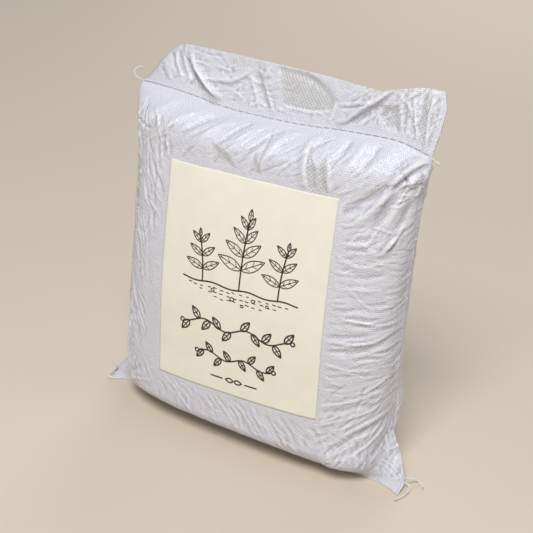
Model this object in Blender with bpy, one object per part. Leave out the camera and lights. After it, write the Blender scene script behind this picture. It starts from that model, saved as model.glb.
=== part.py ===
"""A sewn sack of woven plastic, filled and standing on its bottom end, with a glued paper label.

Metres, +Z up. The origin is on the floor under the middle of the sack. The front, with the label, faces -Y.
A place on the sack is given as (x, z): x in shares of half the body's width, from the left (-1) to the right
(1), and z in shares of the seam's height on the body, or of the collar's height on the collar. An edge share
runs from 0 at a side crease to 1 in the middle of a panel.
"""
import math
from typing import NamedTuple

import bmesh
import bpy
import numpy as np

# Body of the sack
BODY_WIDTH = 0.310
BODY_DEPTH = 0.122
SEAM_HEIGHT = 0.360
SECTION_SQUARENESS = 3.0
BASE_DEPTH = 0.036
NECK_THICKNESS = 0.0034
SIDE_CREASE_HEIGHT = 0.0016
SIDE_CREASE_REACH = 0.007
SIDE_CREASE_TOP = 6
BODY_SHIFT = 0.005
BASE_FLAT_HEIGHT = 0.030
BASE_TWIST = 0.006
BASE_TWIST_HEIGHT = 0.062

# Closing seam: its half length in half body widths, how far it sags, and where the cloth starts to follow it
SEAM_SPAN = 1.035
SEAM_SAG = 0.008
SEAM_SAG_START = 0.85
SEAM_FLAT_HEIGHT = 0.010

# Collar, the unfilled end of the tube above the closing seam
COLLAR_HEIGHT = 0.047
COLLAR_RIGHT_RISE = 0.011
COLLAR_RISE_START = 0.62
COLLAR_RISE_SPAN = 0.34
COLLAR_LEAN = math.radians(18)
COLLAR_WALL = 0.0014
COLLAR_MOUTH = 0.0080
NECK_HEIGHT = 0.0060
POCKET_INSET = 0.0021

# Bottom corners
EAR_LENGTH_LEFT = 0.039
EAR_LENGTH_RIGHT = 0.042
EAR_SWING_LEFT = -0.015
EAR_SWING_RIGHT = -0.0215
EAR_HEIGHT_LEFT = 0.047
EAR_HEIGHT_RIGHT = 0.070
EAR_ROOT_LEFT = 0.013
EAR_ROOT_RIGHT = 0.020
EAR_SHARPNESS_LEFT = 1.35
EAR_SHARPNESS_RIGHT = 1.75

# Paper label on the front
LABEL_WIDTH = 0.188
LABEL_HEIGHT = 0.235
LABEL_THICKNESS = 0.0003
LABEL_CENTRE_X = -0.002
LABEL_CENTRE_Z = 0.1857
LABEL_TURN = math.radians(2.1)
LABEL_FREE_MARGIN = 0.003
LABEL_FREE_SOFT = 0.012
CONTACT_GAP = 0.0003

# Usual width and height of a fold, and the inverse edge shares within which folds and the open mouth fade out
FOLD_WIDTH = 0.006
FOLD_HEIGHT = 0.002
BODY_FOLD_EDGE = 12
COLLAR_FOLD_EDGE = 8
MOUTH_EDGE = 3
MOUTH_RISE = 1.2

# Threads
STITCH_LENGTH = 0.0085
SEAM_THREAD = 0.0009
SEAM_MARGIN = 0.006
SEAM_RISE = 0.0021
STITCH_ARCH = 0.0004
CHAIN_HALF_WIDTH = 0.0013
CHAIN_LIFT = 0.0009
CHAIN_SWAY = 0.30
STITCH_PARTS = 3
CHAIN_PARTS = 6
TAIL_THREAD = 0.0022
FINE_TAIL_THREAD = 0.0012

# Routes of the free thread ends, from where each leaves the sack
THREAD_TAILS = {
    "thread_tail_top_left": (FINE_TAIL_THREAD, (
        (-0.1614, 0.0000, 0.3612), (-0.1650, -0.0010, 0.3618), (-0.1683, -0.0020, 0.3645),
        (-0.1702, -0.0010, 0.3685), (-0.1690, 0.0020, 0.3712), (-0.1665, 0.0060, 0.3716),
        (-0.1645, 0.0100, 0.3698), (-0.1640, 0.0130, 0.3665),
    )),
    "thread_tail_top_right": (FINE_TAIL_THREAD, (
        (0.1612, -0.0006, 0.3561), (0.1645, -0.0020, 0.3556), (0.1675, -0.0025, 0.3532),
        (0.1685, 0.0005, 0.3508), (0.1670, 0.0050, 0.3500), (0.1640, 0.0100, 0.3500),
        (0.1600, 0.0140, 0.3490), (0.1560, 0.0170, 0.3470),
    )),
    "thread_loop_bottom_left": (TAIL_THREAD, (
        (-0.1712, -0.0049, 0.0014), (-0.1770, -0.0093, 0.0013), (-0.1838, -0.0116, 0.0013),
        (-0.1868, -0.0082, 0.0030), (-0.1838, -0.0064, 0.0075), (-0.1803, -0.0049, 0.0115),
        (-0.1785, -0.0055, 0.0150), (-0.1805, -0.0080, 0.0190), (-0.1830, -0.0095, 0.0235),
    )),
    "thread_tail_bottom_right_upper": (TAIL_THREAD, (
        (0.1829, -0.0106, 0.0108), (0.1873, -0.0042, 0.0080), (0.1908, 0.0022, 0.0055),
        (0.1940, 0.0055, 0.0028), (0.1980, 0.0050, 0.0014), (0.2015, 0.0020, 0.0013),
        (0.2030, -0.0020, 0.0013),
    )),
    "thread_tail_bottom_right_lower": (TAIL_THREAD, (
        (0.1833, -0.0130, 0.0081), (0.1888, -0.0088, 0.0052), (0.1925, -0.0125, 0.0026),
        (0.1918, -0.0210, 0.0013), (0.1893, -0.0300, 0.0013), (0.1865, -0.0380, 0.0013),
    )),
}

# Mesh density
COLUMNS = 46
BODY_ROWS = 34
COLLAR_ROWS = 7
POCKET_ROWS = 4
LABEL_COLUMNS = 20
LABEL_ROWS = 18

# Body outline from the floor to the seam: share of the seam's height, of the width and of the depth,
# and the share of the body's shift by which the middle of the section stands behind the origin
BODY_STATIONS = (
    (0.000, 0.916, None, 0.0),
    (0.031, 0.985, 0.60, 0.0),
    (0.091, 1.000, 1.02, 1.0),
    (0.260, 1.000, 0.98, 0.8),
    (0.470, 0.994, 0.90, 0.2),
    (0.675, 0.993, 0.77, 0.2),
    (0.831, 1.006, 0.61, 0.0),
    (0.922, 1.022, 0.46, -0.6),
    (0.974, 1.050, 0.225, 0.0),
    (1.000, SEAM_SPAN, None, 0.0),
)
# How far the seam lies above its height along its half length, as a share of its sag
SEAM_LINE = (
    (-1.0, 0.12), (-0.65, -0.38), (-0.3, -1.0), (0.1, -0.75), (0.45, 0.0), (0.75, 0.38), (1.0, -0.5),
)
# Top edge of the collar, as a share of the collar's height, before the rise at its right end
COLLAR_EDGE = (
    (-1.0, 0.30), (-0.88, 0.76), (-0.74, 0.98), (-0.4, 1.0), (0.2, 1.0), (0.5, 0.97), (0.62, 0.96),
    (0.75, 1.0), (1.0, 1.0),
)
# Left and right ends of the collar: share of the collar's height, share of half the body's width
COLLAR_LEFT = ((0.0, -SEAM_SPAN), (0.3, -0.995), (0.6, -0.96), (0.85, -0.915), (1.0, -0.86))
COLLAR_RIGHT = ((0.0, SEAM_SPAN), (0.35, 1.055), (0.7, 1.06), (1.0, 1.025))


class Fold(NamedTuple):
    """A ridge or a valley of the cloth along a path, its width and height in shares of the usual ones."""

    path: tuple
    width: float
    height: float


# Ridges (+) and valleys (-) of the front panel of the body
FRONT_FOLDS = (
    # gathers that run down to the left from the seam
    Fold(((-0.05, 0.99), (-0.14, 0.960), (-0.26, 0.895)), 1.00, 0.90),
    Fold(((0.22, 0.99), (0.08, 0.955), (-0.03, 0.865)), 1.08, 1.00),
    Fold(((-0.26, 0.99), (-0.39, 0.945), (-0.50, 0.87)), 1.00, 0.80),
    Fold(((-0.46, 0.985), (-0.62, 0.950), (-0.80, 0.88)), 1.00, 0.90),
    Fold(((-0.70, 0.985), (-0.83, 0.940), (-0.95, 0.86)), 1.00, 0.75),
    Fold(((0.10, 0.985), (-0.04, 0.945), (-0.16, 0.86)), 0.92, -0.80),
    Fold(((-0.15, 0.985), (-0.26, 0.945), (-0.38, 0.87)), 0.92, -0.70),
    Fold(((-0.36, 0.985), (-0.50, 0.945), (-0.64, 0.87)), 0.92, -0.70),
    Fold(((0.74, 0.99), (0.70, 0.960), (0.64, 0.91)), 1.00, -1.00),
    Fold(((0.55, 0.99), (0.50, 0.960), (0.44, 0.90)), 1.00, -0.90),
    Fold(((0.65, 0.985), (0.60, 0.955), (0.53, 0.90)), 1.00, 0.90),
    Fold(((0.38, 0.985), (0.29, 0.955), (0.22, 0.89)), 1.00, 0.90),
    # V shaped dent beside the label's right top corner
    Fold(((0.30, 0.950), (0.34, 0.900), (0.385, 0.865)), 1.08, -1.00),
    Fold(((0.42, 0.955), (0.44, 0.905), (0.47, 0.870)), 1.00, 0.80),
    # tuck and knot of cloth under the right end of the seam
    Fold(((1.00, 0.975), (0.95, 0.955), (0.87, 0.935)), 0.83, -2.00),
    Fold(((0.99, 0.945), (0.94, 0.925), (0.90, 0.915)), 0.92, 1.75),
    Fold(((0.87, 0.930), (0.80, 0.900), (0.72, 0.870)), 1.00, -1.10),
    Fold(((0.96, 0.900), (0.90, 0.860), (0.84, 0.800)), 1.00, 0.90),
    # folds that run level into the right side crease
    Fold(((0.60, 0.448), (0.79, 0.463), (0.97, 0.478)), 0.92, 0.95),
    Fold(((0.62, 0.420), (0.80, 0.432), (0.97, 0.440)), 0.92, -0.85),
    Fold(((0.60, 0.240), (0.79, 0.280), (0.97, 0.318)), 0.92, 0.90),
    Fold(((0.63, 0.275), (0.80, 0.310), (0.97, 0.345)), 0.92, -0.80),
    Fold(((0.72, 0.620), (0.84, 0.600), (0.97, 0.590)), 1.00, 0.75),
    Fold(((0.72, 0.740), (0.84, 0.765), (0.97, 0.785)), 1.00, -0.85),
    Fold(((0.70, 0.540), (0.84, 0.530), (0.97, 0.520)), 1.00, -0.70),
    # folds that fan out from the bottom of the right side crease
    Fold(((0.99, 0.235), (0.92, 0.195), (0.80, 0.140)), 0.92, 1.10),
    Fold(((0.99, 0.205), (0.95, 0.160), (0.86, 0.100)), 0.83, -1.00),
    Fold(((0.99, 0.270), (0.86, 0.230), (0.70, 0.175)), 0.92, -0.90),
    # broad swell above the right bottom corner
    Fold(((0.66, 0.055), (0.82, 0.065), (0.96, 0.085)), 2.60, 2.20),
    # folds that run up from the left bottom corner
    Fold(((-0.99, 0.120), (-0.93, 0.200), (-0.90, 0.300)), 1.00, 0.90),
    Fold(((-0.99, 0.170), (-0.97, 0.260), (-0.96, 0.360)), 0.92, -0.75),
    Fold(((-0.97, 0.085), (-0.86, 0.120), (-0.76, 0.165)), 0.92, -0.80),
    Fold(((-0.97, 0.500), (-0.88, 0.580), (-0.82, 0.680)), 1.00, 0.70),
    Fold(((-0.97, 0.640), (-0.90, 0.720), (-0.86, 0.800)), 1.00, -0.70),
)
# Ridges and valleys of the back panel, like those of the front but without a label to keep it flat
BACK_FOLDS = (
    Fold(((-0.70, 0.985), (-0.60, 0.930), (-0.44, 0.850)), 1.08, 1.00),
    Fold(((-0.45, 0.985), (-0.36, 0.920), (-0.22, 0.820)), 1.08, -0.90),
    Fold(((-0.20, 0.985), (-0.12, 0.930), (0.00, 0.840)), 1.08, 1.00),
    Fold(((0.10, 0.985), (0.16, 0.930), (0.26, 0.850)), 1.00, -0.80),
    Fold(((0.38, 0.985), (0.42, 0.930), (0.50, 0.860)), 1.00, 0.90),
    Fold(((0.70, 0.985), (0.72, 0.930), (0.78, 0.860)), 1.00, -0.90),
    Fold(((-0.97, 0.620), (-0.70, 0.600), (-0.40, 0.560)), 1.17, 0.80),
    Fold(((-0.97, 0.420), (-0.75, 0.440), (-0.50, 0.430)), 1.17, -0.80),
    Fold(((0.97, 0.540), (0.74, 0.520), (0.50, 0.480)), 1.17, 0.90),
    Fold(((0.97, 0.340), (0.78, 0.340), (0.55, 0.320)), 1.08, -0.80),
    Fold(((-0.98, 0.150), (-0.80, 0.190), (-0.62, 0.260)), 1.08, 1.00),
    Fold(((0.98, 0.160), (0.82, 0.200), (0.66, 0.280)), 1.08, 1.00),
    Fold(((0.98, 0.220), (0.86, 0.260), (0.72, 0.330)), 1.00, -0.80),
    # broad swells behind the right side crease, low down and under the knot
    Fold(((0.97, 0.270), (0.96, 0.200), (0.95, 0.130)), 2.80, 2.20),
    Fold(((0.98, 0.940), (0.97, 0.910), (0.95, 0.870)), 1.80, 1.60),
)
# Ridges and valleys that both layers of the collar share
COLLAR_FOLDS = (
    # the left corner is folded in, with wrinkles along its slanted edge
    Fold(((-0.78, 0.98), (-0.77, 0.80), (-0.68, 0.48), (-0.57, 0.20), (-0.45, 0.02)), 1.42, 2.50),
    Fold(((-0.62, 0.98), (-0.60, 0.76), (-0.52, 0.48), (-0.42, 0.24)), 1.42, -2.25),
    Fold(((-0.92, 0.60), (-0.87, 0.40), (-0.80, 0.15)), 1.33, -1.00),
    # standing wrinkle left of the middle
    Fold(((-0.20, 1.00), (-0.19, 0.62), (-0.10, 0.12)), 1.17, -1.50),
    Fold(((-0.30, 0.98), (-0.28, 0.60), (-0.18, 0.15)), 1.00, 1.00),
    # shaded slope to the right of it
    Fold(((-0.08, 0.96), (0.10, 0.85), (0.32, 0.66)), 1.08, -1.75),
    Fold(((-0.10, 0.40), (0.10, 0.36), (0.33, 0.42)), 1.08, 1.10),
    # fold that rises from the seam to the notch in the top edge
    Fold(((0.42, 0.20), (0.55, 0.46), (0.65, 0.70), (0.69, 0.98)), 1.08, 2.00),
    Fold(((0.36, 0.45), (0.50, 0.66), (0.60, 0.95)), 1.08, -1.50),
    Fold(((0.82, 0.60), (0.82, 0.35), (0.85, 0.08)), 0.92, -1.50),
    Fold(((0.90, 0.95), (0.92, 0.60), (0.94, 0.20)), 0.92, 0.90),
)


def clear_scene():
    """Removes every object of the scene."""
    for item in list(bpy.data.objects):
        bpy.data.objects.remove(item, do_unlink=True)


def smooth_curve(points):
    """Returns a function through the points that is smooth and doesn't overshoot between them."""
    xs, ys = (np.array(values, dtype=float) for values in zip(*points))
    steps = np.diff(xs)
    slopes = np.diff(ys) / steps
    tangents = np.zeros_like(ys)
    tangents[0], tangents[-1] = slopes[0], slopes[-1]
    for i in range(1, len(xs) - 1):
        if slopes[i - 1] * slopes[i] > 0:
            before, after = 2 * steps[i] + steps[i - 1], steps[i] + 2 * steps[i - 1]
            tangents[i] = (before + after) / (before / slopes[i - 1] + after / slopes[i])

    def value(x):
        x = np.clip(x, xs[0], xs[-1])
        i = np.clip(np.searchsorted(xs, x, side="right") - 1, 0, len(steps) - 1)
        s = (x - xs[i]) / steps[i]
        rise = (1 + 2 * s) * (1 - s) ** 2 * ys[i] + s ** 2 * (3 - 2 * s) * ys[i + 1]
        turn = s * (1 - s) ** 2 * tangents[i] - s ** 2 * (1 - s) * tangents[i + 1]
        return rise + steps[i] * turn

    return value


def smooth_step(x):
    """Rises smoothly from 0 to 1 as x does."""
    x = np.clip(x, 0.0, 1.0)
    return x * x * (3 - 2 * x)


HALF_WIDTH = BODY_WIDTH / 2
HALF_DEPTH = BODY_DEPTH / 2
body_half_width = smooth_curve([(s[0], s[1] * HALF_WIDTH) for s in BODY_STATIONS])
body_half_depth = smooth_curve(
    [(0.0, BASE_DEPTH / 2)]
    + [(s[0], s[2] * HALF_DEPTH) for s in BODY_STATIONS[1:-1]]
    + [(1.0, NECK_THICKNESS / 2)]
)
body_middle = smooth_curve([(s[0], s[3] * BODY_SHIFT) for s in BODY_STATIONS])
seam_offset = smooth_curve([(x, share * SEAM_SAG) for x, share in SEAM_LINE])
collar_edge = smooth_curve(COLLAR_EDGE)
collar_left = smooth_curve(COLLAR_LEFT)
collar_right = smooth_curve(COLLAR_RIGHT)


def fold_relief(folds, x, z, scale):
    """Returns how far the folds lift the cloth at places x, z in metres, with z shares of the scale."""
    relief = np.zeros(np.shape(x))
    for fold in folds:
        route = np.array(fold.path) * (HALF_WIDTH, scale)
        share = np.linspace(0, 1, len(route))
        fine = np.linspace(0, 1, 25)
        fx = smooth_curve(list(zip(share, route[:, 0])))(fine)
        fz = smooth_curve(list(zip(share, route[:, 1])))(fine)
        away = np.hypot(x[..., None] - fx, z[..., None] - fz)
        nearest = away.argmin(axis=-1)
        fade = np.sin(math.pi * (0.08 + 0.84 * fine[nearest])) ** 0.7
        spread = np.exp(-((away.min(axis=-1) / (fold.width * FOLD_WIDTH)) ** 2))
        relief += fold.height * FOLD_HEIGHT * fade * spread
    return relief


def edge_fade(shares, steepness):
    """Rises from 0 at both ends of shares from -1 to 1, the sooner the steeper."""
    return smooth_step((1 - np.abs(shares)) * steepness)


def label_place(s, t):
    """Returns x, z of the label's point at shares s across and t up, both from -0.5 to 0.5."""
    across, up = s * LABEL_WIDTH, t * LABEL_HEIGHT
    x = LABEL_CENTRE_X + across * math.cos(LABEL_TURN) - up * math.sin(LABEL_TURN)
    z = LABEL_CENTRE_Z + up * math.cos(LABEL_TURN) + across * math.sin(LABEL_TURN)
    return x, z


def outside_label(x, z):
    """Rises from 0 on the label's place to 1 some way outside it, where the cloth is free to fold."""
    dx, dz = x - LABEL_CENTRE_X, z - LABEL_CENTRE_Z
    across = dx * math.cos(LABEL_TURN) + dz * math.sin(LABEL_TURN)
    up = dz * math.cos(LABEL_TURN) - dx * math.sin(LABEL_TURN)
    past_side = np.maximum(np.abs(across) - LABEL_WIDTH / 2 - LABEL_FREE_MARGIN, 0)
    past_end = np.maximum(np.abs(up) - LABEL_HEIGHT / 2 - LABEL_FREE_MARGIN, 0)
    return smooth_step(np.hypot(past_side, past_end) / LABEL_FREE_SOFT)


def front_face_y(x, z):
    """Returns y of the smooth front of the filled body, without its folds."""
    t = z / SEAM_HEIGHT
    share = np.clip(np.abs(x) / body_half_width(t), 0, 1)
    bulge = (1 - share ** SECTION_SQUARENESS) ** (1 / SECTION_SQUARENESS)
    return body_middle(t) - body_half_depth(t) * bulge


def ear_share(z, height, sharpness):
    """Falls from 1 at the floor to 0 at the height where a bottom corner leaves the body."""
    return np.clip(1 - z / height, 0, 1) ** sharpness


def body_section(t, facing):
    """Returns the points of one panel at height share t, evenly spaced from its left to its right crease."""
    z = t * SEAM_HEIGHT
    angle = np.linspace(math.pi, 0, 721)
    power = 2 / SECTION_SQUARENESS
    x = np.sign(np.cos(angle)) * np.abs(np.cos(angle)) ** power * body_half_width(t)
    off = np.sin(angle) ** power * body_half_depth(t)
    crease = SIDE_CREASE_HEIGHT * np.clip(1 - off / SIDE_CREASE_REACH, 0, 1) ** 2
    crease *= smooth_step((1 - t) * SIDE_CREASE_TOP)
    left = x < 0
    left_share = ear_share(z, EAR_HEIGHT_LEFT, EAR_SHARPNESS_LEFT)
    right_share = ear_share(z, EAR_HEIGHT_RIGHT, EAR_SHARPNESS_RIGHT)
    share = np.where(left, left_share, right_share)
    root = np.clip(1 - off / np.where(left, EAR_ROOT_LEFT, EAR_ROOT_RIGHT), 0, 1) ** 2 * share
    x += np.where(left, -crease - EAR_LENGTH_LEFT * root, crease + EAR_LENGTH_RIGHT * root)
    swing = np.where(left, EAR_SWING_LEFT, EAR_SWING_RIGHT) * root ** 2 * share
    length = np.concatenate([[0], np.cumsum(np.hypot(np.diff(x), np.diff(off)))])
    even = np.linspace(0, length[-1], COLUMNS + 1)
    twist = BASE_TWIST * np.clip(x / HALF_WIDTH, -1, 1) * np.clip(1 - z / BASE_TWIST_HEIGHT, 0, 1) ** 2
    y = body_middle(t) + facing * off + swing - twist
    return np.interp(even, length, x), np.interp(even, length, y)


def panel_normals(grid):
    """Returns the unit normals of a grid of points, turned by the order of its rows and columns."""
    across = np.gradient(grid, axis=1)
    up = np.gradient(grid, axis=0)
    normal = np.cross(across, up)
    return normal / np.maximum(np.linalg.norm(normal, axis=-1, keepdims=True), 1e-9)


def body_heights():
    """Returns the height shares of the body's rows, closer together at the floor and below the seam."""
    even = np.linspace(0, 1, BODY_ROWS + 1)
    return even - 0.055 * np.sin(2 * math.pi * even) - 0.012 * np.sin(4 * math.pi * even)


def body_panel(facing, folds):
    """Returns the rows of one panel of the filled body, with its folds, from the floor to the seam."""
    rows = []
    for t in body_heights():
        x, y = body_section(t, facing)
        rows.append(np.stack([x, y, np.full_like(x, t * SEAM_HEIGHT)], axis=-1))
    grid = np.array(rows)
    outward = panel_normals(grid) * (1 if facing < 0 else -1)
    x, z = grid[..., 0], grid[..., 2]
    relief = fold_relief(folds, x, z, SEAM_HEIGHT)
    relief *= outside_label(x, z) if facing < 0 else 1
    relief *= smooth_step(z / BASE_FLAT_HEIGHT) * smooth_step((SEAM_HEIGHT - z) / SEAM_FLAT_HEIGHT)
    relief *= edge_fade(np.linspace(-1, 1, COLUMNS + 1), BODY_FOLD_EDGE)
    grid += outward * relief[..., None]
    follows = smooth_step((grid[..., 2] / SEAM_HEIGHT - SEAM_SAG_START) / (1 - SEAM_SAG_START))
    grid[..., 2] += seam_offset(grid[..., 0] / (HALF_WIDTH * SEAM_SPAN)) * follows
    return grid


def collar_point(x_share, rise_share, layer):
    """Returns the point of the collar's middle surface, moved by layer along the thickness."""
    left, right = collar_left(rise_share), collar_right(rise_share)
    x = HALF_WIDTH * (left + (right - left) * (x_share + 1) / 2)
    along = x / HALF_WIDTH
    rise_at_end = COLLAR_RIGHT_RISE * smooth_step((along - COLLAR_RISE_START) / COLLAR_RISE_SPAN)
    seam = seam_offset(x_share)
    rise = rise_share * (COLLAR_HEIGHT * collar_edge(along) + rise_at_end - seam)
    relief = fold_relief(COLLAR_FOLDS, x, rise, COLLAR_HEIGHT) * edge_fade(x_share, COLLAR_FOLD_EDGE)
    relief *= smooth_step((rise - NECK_HEIGHT) / SEAM_FLAT_HEIGHT)
    off = layer - relief
    y = body_middle(1.0) + rise * math.sin(COLLAR_LEAN) + off * math.cos(COLLAR_LEAN)
    z = SEAM_HEIGHT + seam + rise * math.cos(COLLAR_LEAN) - off * math.sin(COLLAR_LEAN)
    return np.stack([x, y, z], axis=-1)


def collar_half_thickness(x_share, rise_share):
    """Returns half of the collar's thickness over both layers: pinched at the seam, open at the mouth."""
    above_neck = smooth_step(MOUTH_RISE * (rise_share - NECK_HEIGHT / COLLAR_HEIGHT))
    mouth = (COLLAR_MOUTH - NECK_THICKNESS) / 2 * edge_fade(x_share, MOUTH_EDGE) * above_neck
    return NECK_THICKNESS / 2 + mouth


def collar_panel(facing):
    """Returns one layer of the collar: up its outer face, over the edge and down into the pocket."""
    x_share = np.linspace(-1, 1, COLUMNS + 1)
    rises = np.linspace(NECK_HEIGHT / COLLAR_HEIGHT, 1, COLLAR_ROWS)
    outer = [(rise, 0.0) for rise in rises]
    inner = [(rise, COLLAR_WALL) for rise in rises[:-POCKET_ROWS - 1:-1]]
    rows = []
    for rise, wall in outer + inner:
        half = collar_half_thickness(x_share, np.full_like(x_share, rise)) - wall
        ends = edge_fade(x_share, COLUMNS / 2)
        rows.append(collar_point(x_share, np.full_like(x_share, rise), facing * half * ends))
    grid = np.array(rows)
    grid[COLLAR_ROWS:, 0, 0] += POCKET_INSET
    grid[COLLAR_ROWS:, -1, 0] -= POCKET_INSET
    return grid


def sack_mesh():
    """Returns the closed mesh of the sack: floor, body panels, collar layers and the pocket between them."""
    front = np.concatenate([body_panel(-1, FRONT_FOLDS), collar_panel(-1)])
    back = np.concatenate([body_panel(1, BACK_FOLDS), collar_panel(1)])
    middle = (front[:, [0, -1]] + back[:, [0, -1]]) / 2
    front[:, [0, -1]] = middle
    mesh = bmesh.new()
    rings = []
    for front_row, back_row in zip(front, back):
        loop = list(front_row) + list(back_row[-2:0:-1])
        rings.append([mesh.verts.new(point) for point in loop])
    count = 2 * COLUMNS
    for lower, upper in zip(rings, rings[1:]):
        for i in range(count):
            j = (i + 1) % count
            mesh.faces.new((lower[i], lower[j], upper[j], upper[i]))
    close_ring(mesh, rings[0], flip=True)
    close_ring(mesh, rings[-1], flip=False)
    bmesh.ops.triangulate(mesh, faces=mesh.faces, quad_method="SHORT_EDGE")
    return mesh


def close_ring(mesh, ring, flip):
    """Closes a flattened ring with strips from its front half to its back half."""
    for i in range(COLUMNS):
        a, b = ring[i], ring[i + 1]
        c, d = ring[-(i + 1)] if i + 1 < COLUMNS else ring[COLUMNS], ring[-i] if i else ring[0]
        corners = [a, b, c, d]
        unique = [v for k, v in enumerate(corners) if v not in corners[:k]]
        mesh.faces.new(unique[::-1] if flip else unique)


def make_material(name, colour, roughness, metallic=0.0):
    """Returns a plain Principled material."""
    material = bpy.data.materials.new(name)
    material.use_nodes = True
    shader = material.node_tree.nodes["Principled BSDF"]
    shader.inputs["Base Color"].default_value = (*colour, 1.0)
    shader.inputs["Roughness"].default_value = roughness
    shader.inputs["Metallic"].default_value = metallic
    return material


def add_object(name, data, material):
    """Links a new object of the data to the scene with its material."""
    item = bpy.data.objects.new(name, data)
    bpy.context.scene.collection.objects.link(item)
    data.materials.append(material)
    return item


def add_mesh(name, mesh, material, sharp_angle=math.radians(50)):
    """Makes an object of a bmesh, with its faces turned outwards and shaded smooth."""
    bmesh.ops.recalc_face_normals(mesh, faces=mesh.faces)
    data = bpy.data.meshes.new(name)
    mesh.to_mesh(data)
    mesh.free()
    data.shade_smooth()
    data.set_sharp_from_angle(angle=sharp_angle)
    return add_object(name, data, material)


def make_sack():
    """Makes the filled sack."""
    return add_mesh("sack", sack_mesh(), make_material("woven_white", (0.86, 0.86, 0.90), 0.45))


def make_label():
    """Makes the paper label, a thin sheet that follows the front of the sack."""
    s = np.linspace(-0.5, 0.5, LABEL_COLUMNS + 1)
    t = np.linspace(-0.5, 0.5, LABEL_ROWS + 1)
    x, z = label_place(*np.meshgrid(s, t))
    grid = np.stack([x, front_face_y(x, z), z], axis=-1)
    outward = panel_normals(grid)
    mesh = bmesh.new()
    sheets = []
    for distance in (CONTACT_GAP, CONTACT_GAP + LABEL_THICKNESS):
        sheets.append([[mesh.verts.new(p) for p in row] for row in grid + outward * distance])
    for sheet in sheets:
        for low, high in zip(sheet, sheet[1:]):
            for i in range(LABEL_COLUMNS):
                corners = (low[i], low[i + 1], high[i + 1], high[i])
                mesh.faces.new(corners if sheet is sheets[1] else corners[::-1])
    rims = [boundary(sheet) for sheet in sheets]
    for i in range(len(rims[0])):
        j = (i + 1) % len(rims[0])
        mesh.faces.new((rims[0][i], rims[0][j], rims[1][j], rims[1][i]))
    return add_mesh("front_label", mesh, make_material("cream_paper", (0.90, 0.84, 0.68), 0.75))


def boundary(sheet):
    """Returns the edge of a grid of vertices as a ring, from its lower left corner to the right and round."""
    left = [row[0] for row in sheet]
    right = [row[-1] for row in sheet]
    return sheet[0][:-1] + right[:-1] + sheet[-1][:0:-1] + left[:0:-1]


def tube(name, points, diameter, material, resolution=2):
    """Makes a thread: a round tube with filled ends along the points."""
    data = bpy.data.curves.new(name, "CURVE")
    data.dimensions = "3D"
    data.bevel_depth = diameter / 2
    data.bevel_resolution = resolution
    data.use_fill_caps = True
    spline = data.splines.new("POLY")
    spline.points.add(len(points) - 1)
    for place, point in zip(spline.points, points):
        place.co = (*point, 1.0)
    return add_object(name, data, material)


def smooth_route(route, spacing):
    """Returns points about that far apart on a smooth curve through the route's own points."""
    route = np.array(route, dtype=float)
    ends = np.concatenate([[2 * route[0] - route[1]], route, [2 * route[-1] - route[-2]]])
    fine = []
    for a, b, c, d in zip(ends, ends[1:], ends[2:], ends[3:]):
        for s in np.linspace(0, 1, 24, endpoint=False):
            bend = (2 * a - 5 * b + 4 * c - d) * s ** 2 + (3 * b - a - 3 * c + d) * s ** 3
            fine.append(0.5 * (2 * b + (c - a) * s + bend))
    fine = np.array(fine + [route[-1]])
    length = np.concatenate([[0], np.cumsum(np.linalg.norm(np.diff(fine, axis=0), axis=1))])
    even = np.linspace(0, length[-1], max(6, round(length[-1] / spacing)) + 1)
    return np.stack([np.interp(even, length, fine[:, k]) for k in range(3)], axis=-1)


def neck_point(x, rise, facing, off):
    """Returns a point off the neck's front or back face, at x and rise above the seam."""
    x_share, rise_share = np.array(x / (HALF_WIDTH * SEAM_SPAN)), np.array(rise / COLLAR_HEIGHT)
    half = collar_half_thickness(x_share, rise_share) + off
    return collar_point(x_share, rise_share, facing * half)


def make_seam_threads(material):
    """Makes the closing seam: the needle thread in front of the neck and the looper's chain behind it."""
    reach = HALF_WIDTH * SEAM_SPAN - SEAM_MARGIN
    stitches = int(2 * reach / STITCH_LENGTH)
    rest = CONTACT_GAP + SEAM_THREAD / 2
    front = []
    for k in range(stitches * STITCH_PARTS + 1):
        x = -reach + 2 * reach * k / (stitches * STITCH_PARTS)
        arch = STITCH_ARCH * abs(math.sin(math.pi * k / STITCH_PARTS))
        front.append(neck_point(x, SEAM_RISE, -1, rest + arch))
    tube("seam_needle_thread", front, SEAM_THREAD, material, resolution=1)
    back = []
    for k in range(stitches * CHAIN_PARTS + 1):
        phase = 2 * math.pi * k / CHAIN_PARTS
        sway = CHAIN_SWAY * STITCH_LENGTH * math.sin(2 * phase)
        x = -reach + 2 * reach * k / (stitches * CHAIN_PARTS) - sway
        rise = SEAM_RISE + CHAIN_HALF_WIDTH * (1 + math.sin(phase))
        back.append(neck_point(x, rise, 1, rest + CHAIN_LIFT * (1 + math.cos(2 * phase)) / 2))
    tube("seam_looper_chain", back, SEAM_THREAD, material, resolution=1)


def make_thread_tails(material):
    """Makes the free thread ends at the four corners, each along its own route."""
    for name, (diameter, route) in THREAD_TAILS.items():
        tube(name, smooth_route(route, diameter * 2.4), diameter, material)


def main():
    """Builds every piece of the sack."""
    clear_scene()
    make_sack()
    make_label()
    thread = make_material("white_thread", (0.88, 0.88, 0.90), 0.7)
    make_seam_threads(thread)
    make_thread_tails(thread)


main()
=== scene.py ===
"""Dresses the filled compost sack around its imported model, and sets up a plain studio for its picture.

Metres, +Z up, the front with the label faces -Y. A place on the cloth is given as x and z on the front panel,
or as x and the rise above the closing seam on the collar.
"""

import logging
import math
from dataclasses import dataclass, field
from enum import Enum
from typing import Callable, Sequence

import bpy
import numpy as np
from mathutils import Matrix, Vector

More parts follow.
